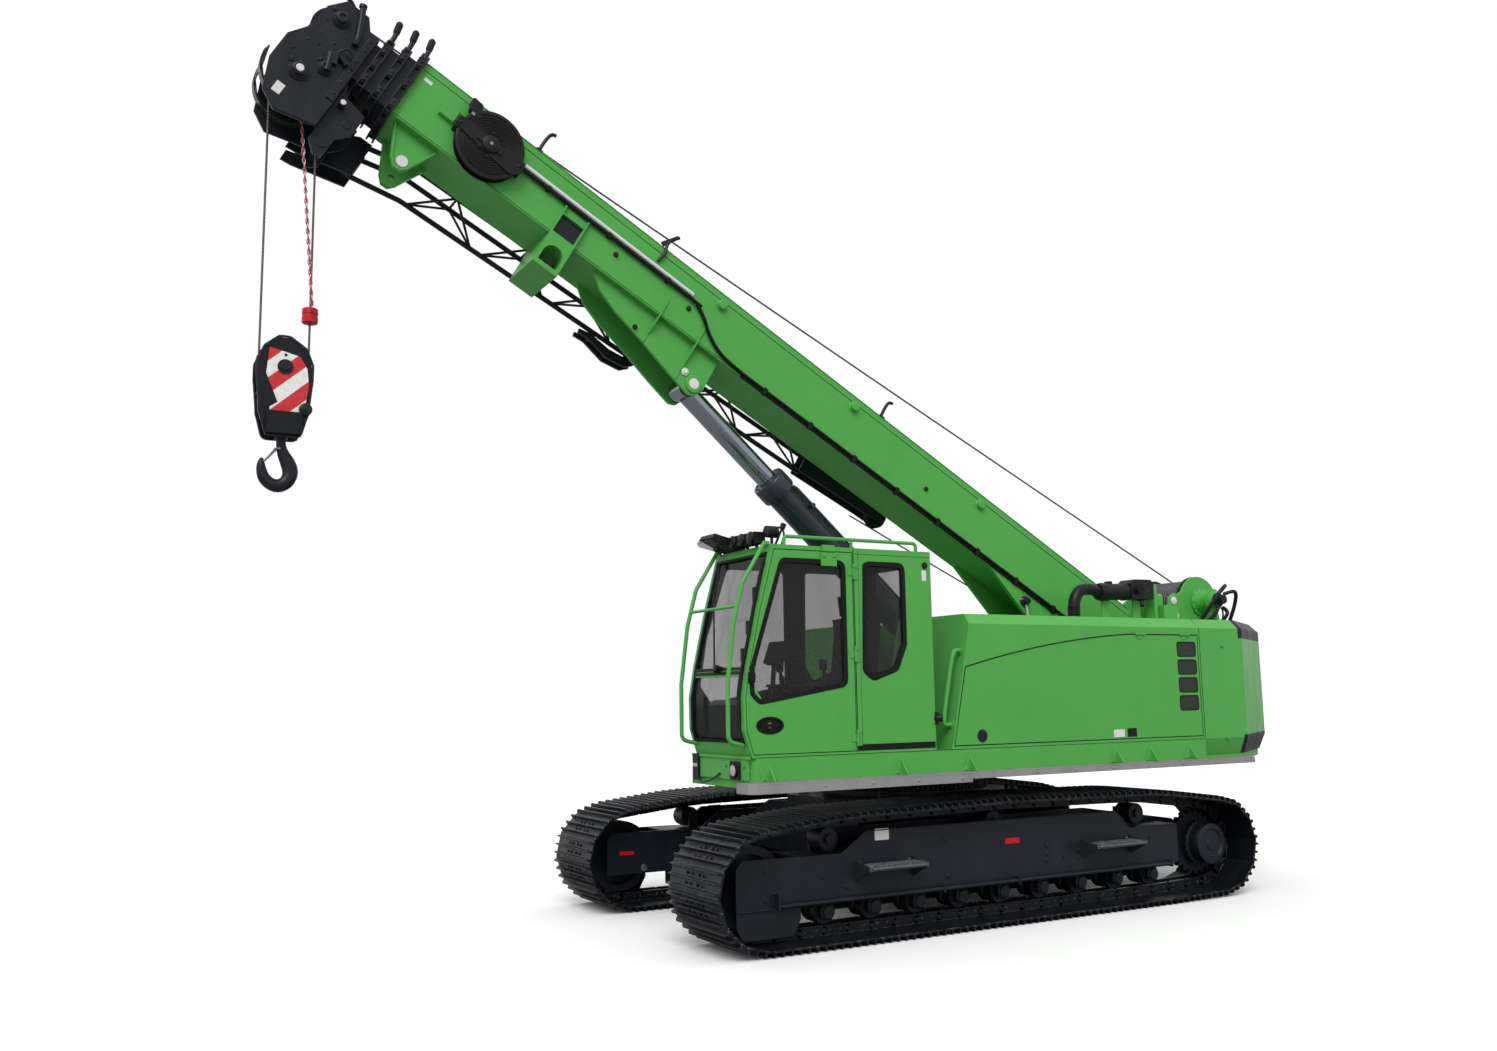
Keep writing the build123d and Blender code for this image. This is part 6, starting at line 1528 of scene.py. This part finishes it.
drum_top = WINCH + Vector((0.018, 0, 0.229))
stations = [BOOM @ Vector((3.0, 0, 1.462)), BOOM @ Vector((4.7, 0, 1.335)), BOOM @ Vector((6.3, 0, 1.216)),
            BOOM @ Vector((8.552, 0, 1.071))]
runs = [("hoist_rope_rear", "upper", "boom_base", drum_top, stations[0]),
        ("hoist_rope_base", "boom_base", "section_2", stations[0], stations[1]),
        ("hoist_rope_middle", "section_2", "section_3", stations[1], stations[2]),
        ("hoist_rope_front", "section_3", "head", stations[2], stations[3])]
for name, a_body, b_body, a, b in runs:
    steps = 40
    run = Shape()
    run.tube([a.lerp(b, k / steps) for k in range(steps + 1)], 0.008, 8)
    piece = run.done(name, None, LINE, "rope_wire")
    tuple(a.lerp(b, 0.02))
    tuple(a.lerp(b, 0.98))
    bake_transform(piece)

# the jib's own rope, along the boom's underside to a cleat near the foot
jib_rope = Shape(BOOM)
jib_rope.tube([(2.62, -0.480, 0.400), (2.00, -0.440, 0.440), (1.05, -0.300, 0.470)], 0.0075, 8)
jib_rope.box(0.98, 1.08, -0.315, -0.252, 0.50, 0.53)
jib_rope.rod((1.05, -0.300, 0.455), (1.05, -0.300, 0.505), 0.012, 10)
jib_rope.done("jib_rope", BASE_BODY, LINE, "rope_wire")


# Camera, floor and light

scene = bpy.context.scene
camera = bpy.data.objects.new("camera", bpy.data.cameras.new("camera"))
scene.collection.objects.link(camera)
camera.data.sensor_fit = "HORIZONTAL"
camera.data.sensor_width = 36
camera.data.lens = 29.9976
camera.data.clip_end = 400
camera.matrix_world = Matrix(((-0.86981, 0.053668, 0.490459, 6.83298),
                              (0.493141, 0.125903, 0.860791, 9.23702),
                              (-0.015554, 0.99059, -0.135977, 1.8), (0, 0, 0, 1)))
scene.camera = camera

floor_mesh = bpy.data.meshes.new("floor")
floor_mesh.from_pydata([(-90, -90, 0), (90, -90, 0), (90, 90, 0), (-90, 90, 0)], [], [(0, 1, 2, 3)])
floor = bpy.data.objects.new("floor", floor_mesh)
scene.collection.objects.link(floor)
mat, tree, shader = new_material("floor")
path = tree.nodes.new("ShaderNodeLightPath")
speckle = ramp(tree, noise(tree, 0.8, 3), 0.3, 0.7, 0.93, 1.0)
pale_floor = mix(tree, speckle, (0.9, 0.9, 0.9), (1.0, 1.0, 1.0))
tree.links.new(mix(tree, path.outputs["Is Camera Ray"], (0.30, 0.30, 0.30), pale_floor),
               shader.inputs["Base Color"])
shader.inputs["Roughness"].default_value = 1
shader.inputs["Specular IOR Level"].default_value = 0
floor_mesh.materials.append(mat)
floor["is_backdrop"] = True

world = bpy.data.worlds.new("studio")
scene.world = world
world.use_nodes = True
tree = world.node_tree
background = tree.nodes["Background"]
path = tree.nodes.new("ShaderNodeLightPath")
most = tree.nodes.new("ShaderNodeMath")
most.operation = "MAXIMUM"
tree.links.new(path.outputs["Is Camera Ray"], most.inputs[0])
tree.links.new(path.outputs["Is Transmission Ray"], most.inputs[1])
strength = ramp(tree, most.outputs[0], 0, 1, 0.80, 1.0)
tree.links.new(strength, background.inputs["Strength"])
background.inputs["Color"].default_value = (1, 1, 1, 1)

sun = bpy.data.objects.new("sun", bpy.data.lights.new("sun", "SUN"))
sun.data.energy = 1.7
sun.data.angle = math.radians(35)
sun.matrix_world = Vector((0.55, 0.80, 0.95)).to_track_quat("Z", "Y").to_matrix().to_4x4()
scene.collection.objects.link(sun)

scene.view_settings.view_transform = "Standard"

low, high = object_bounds()
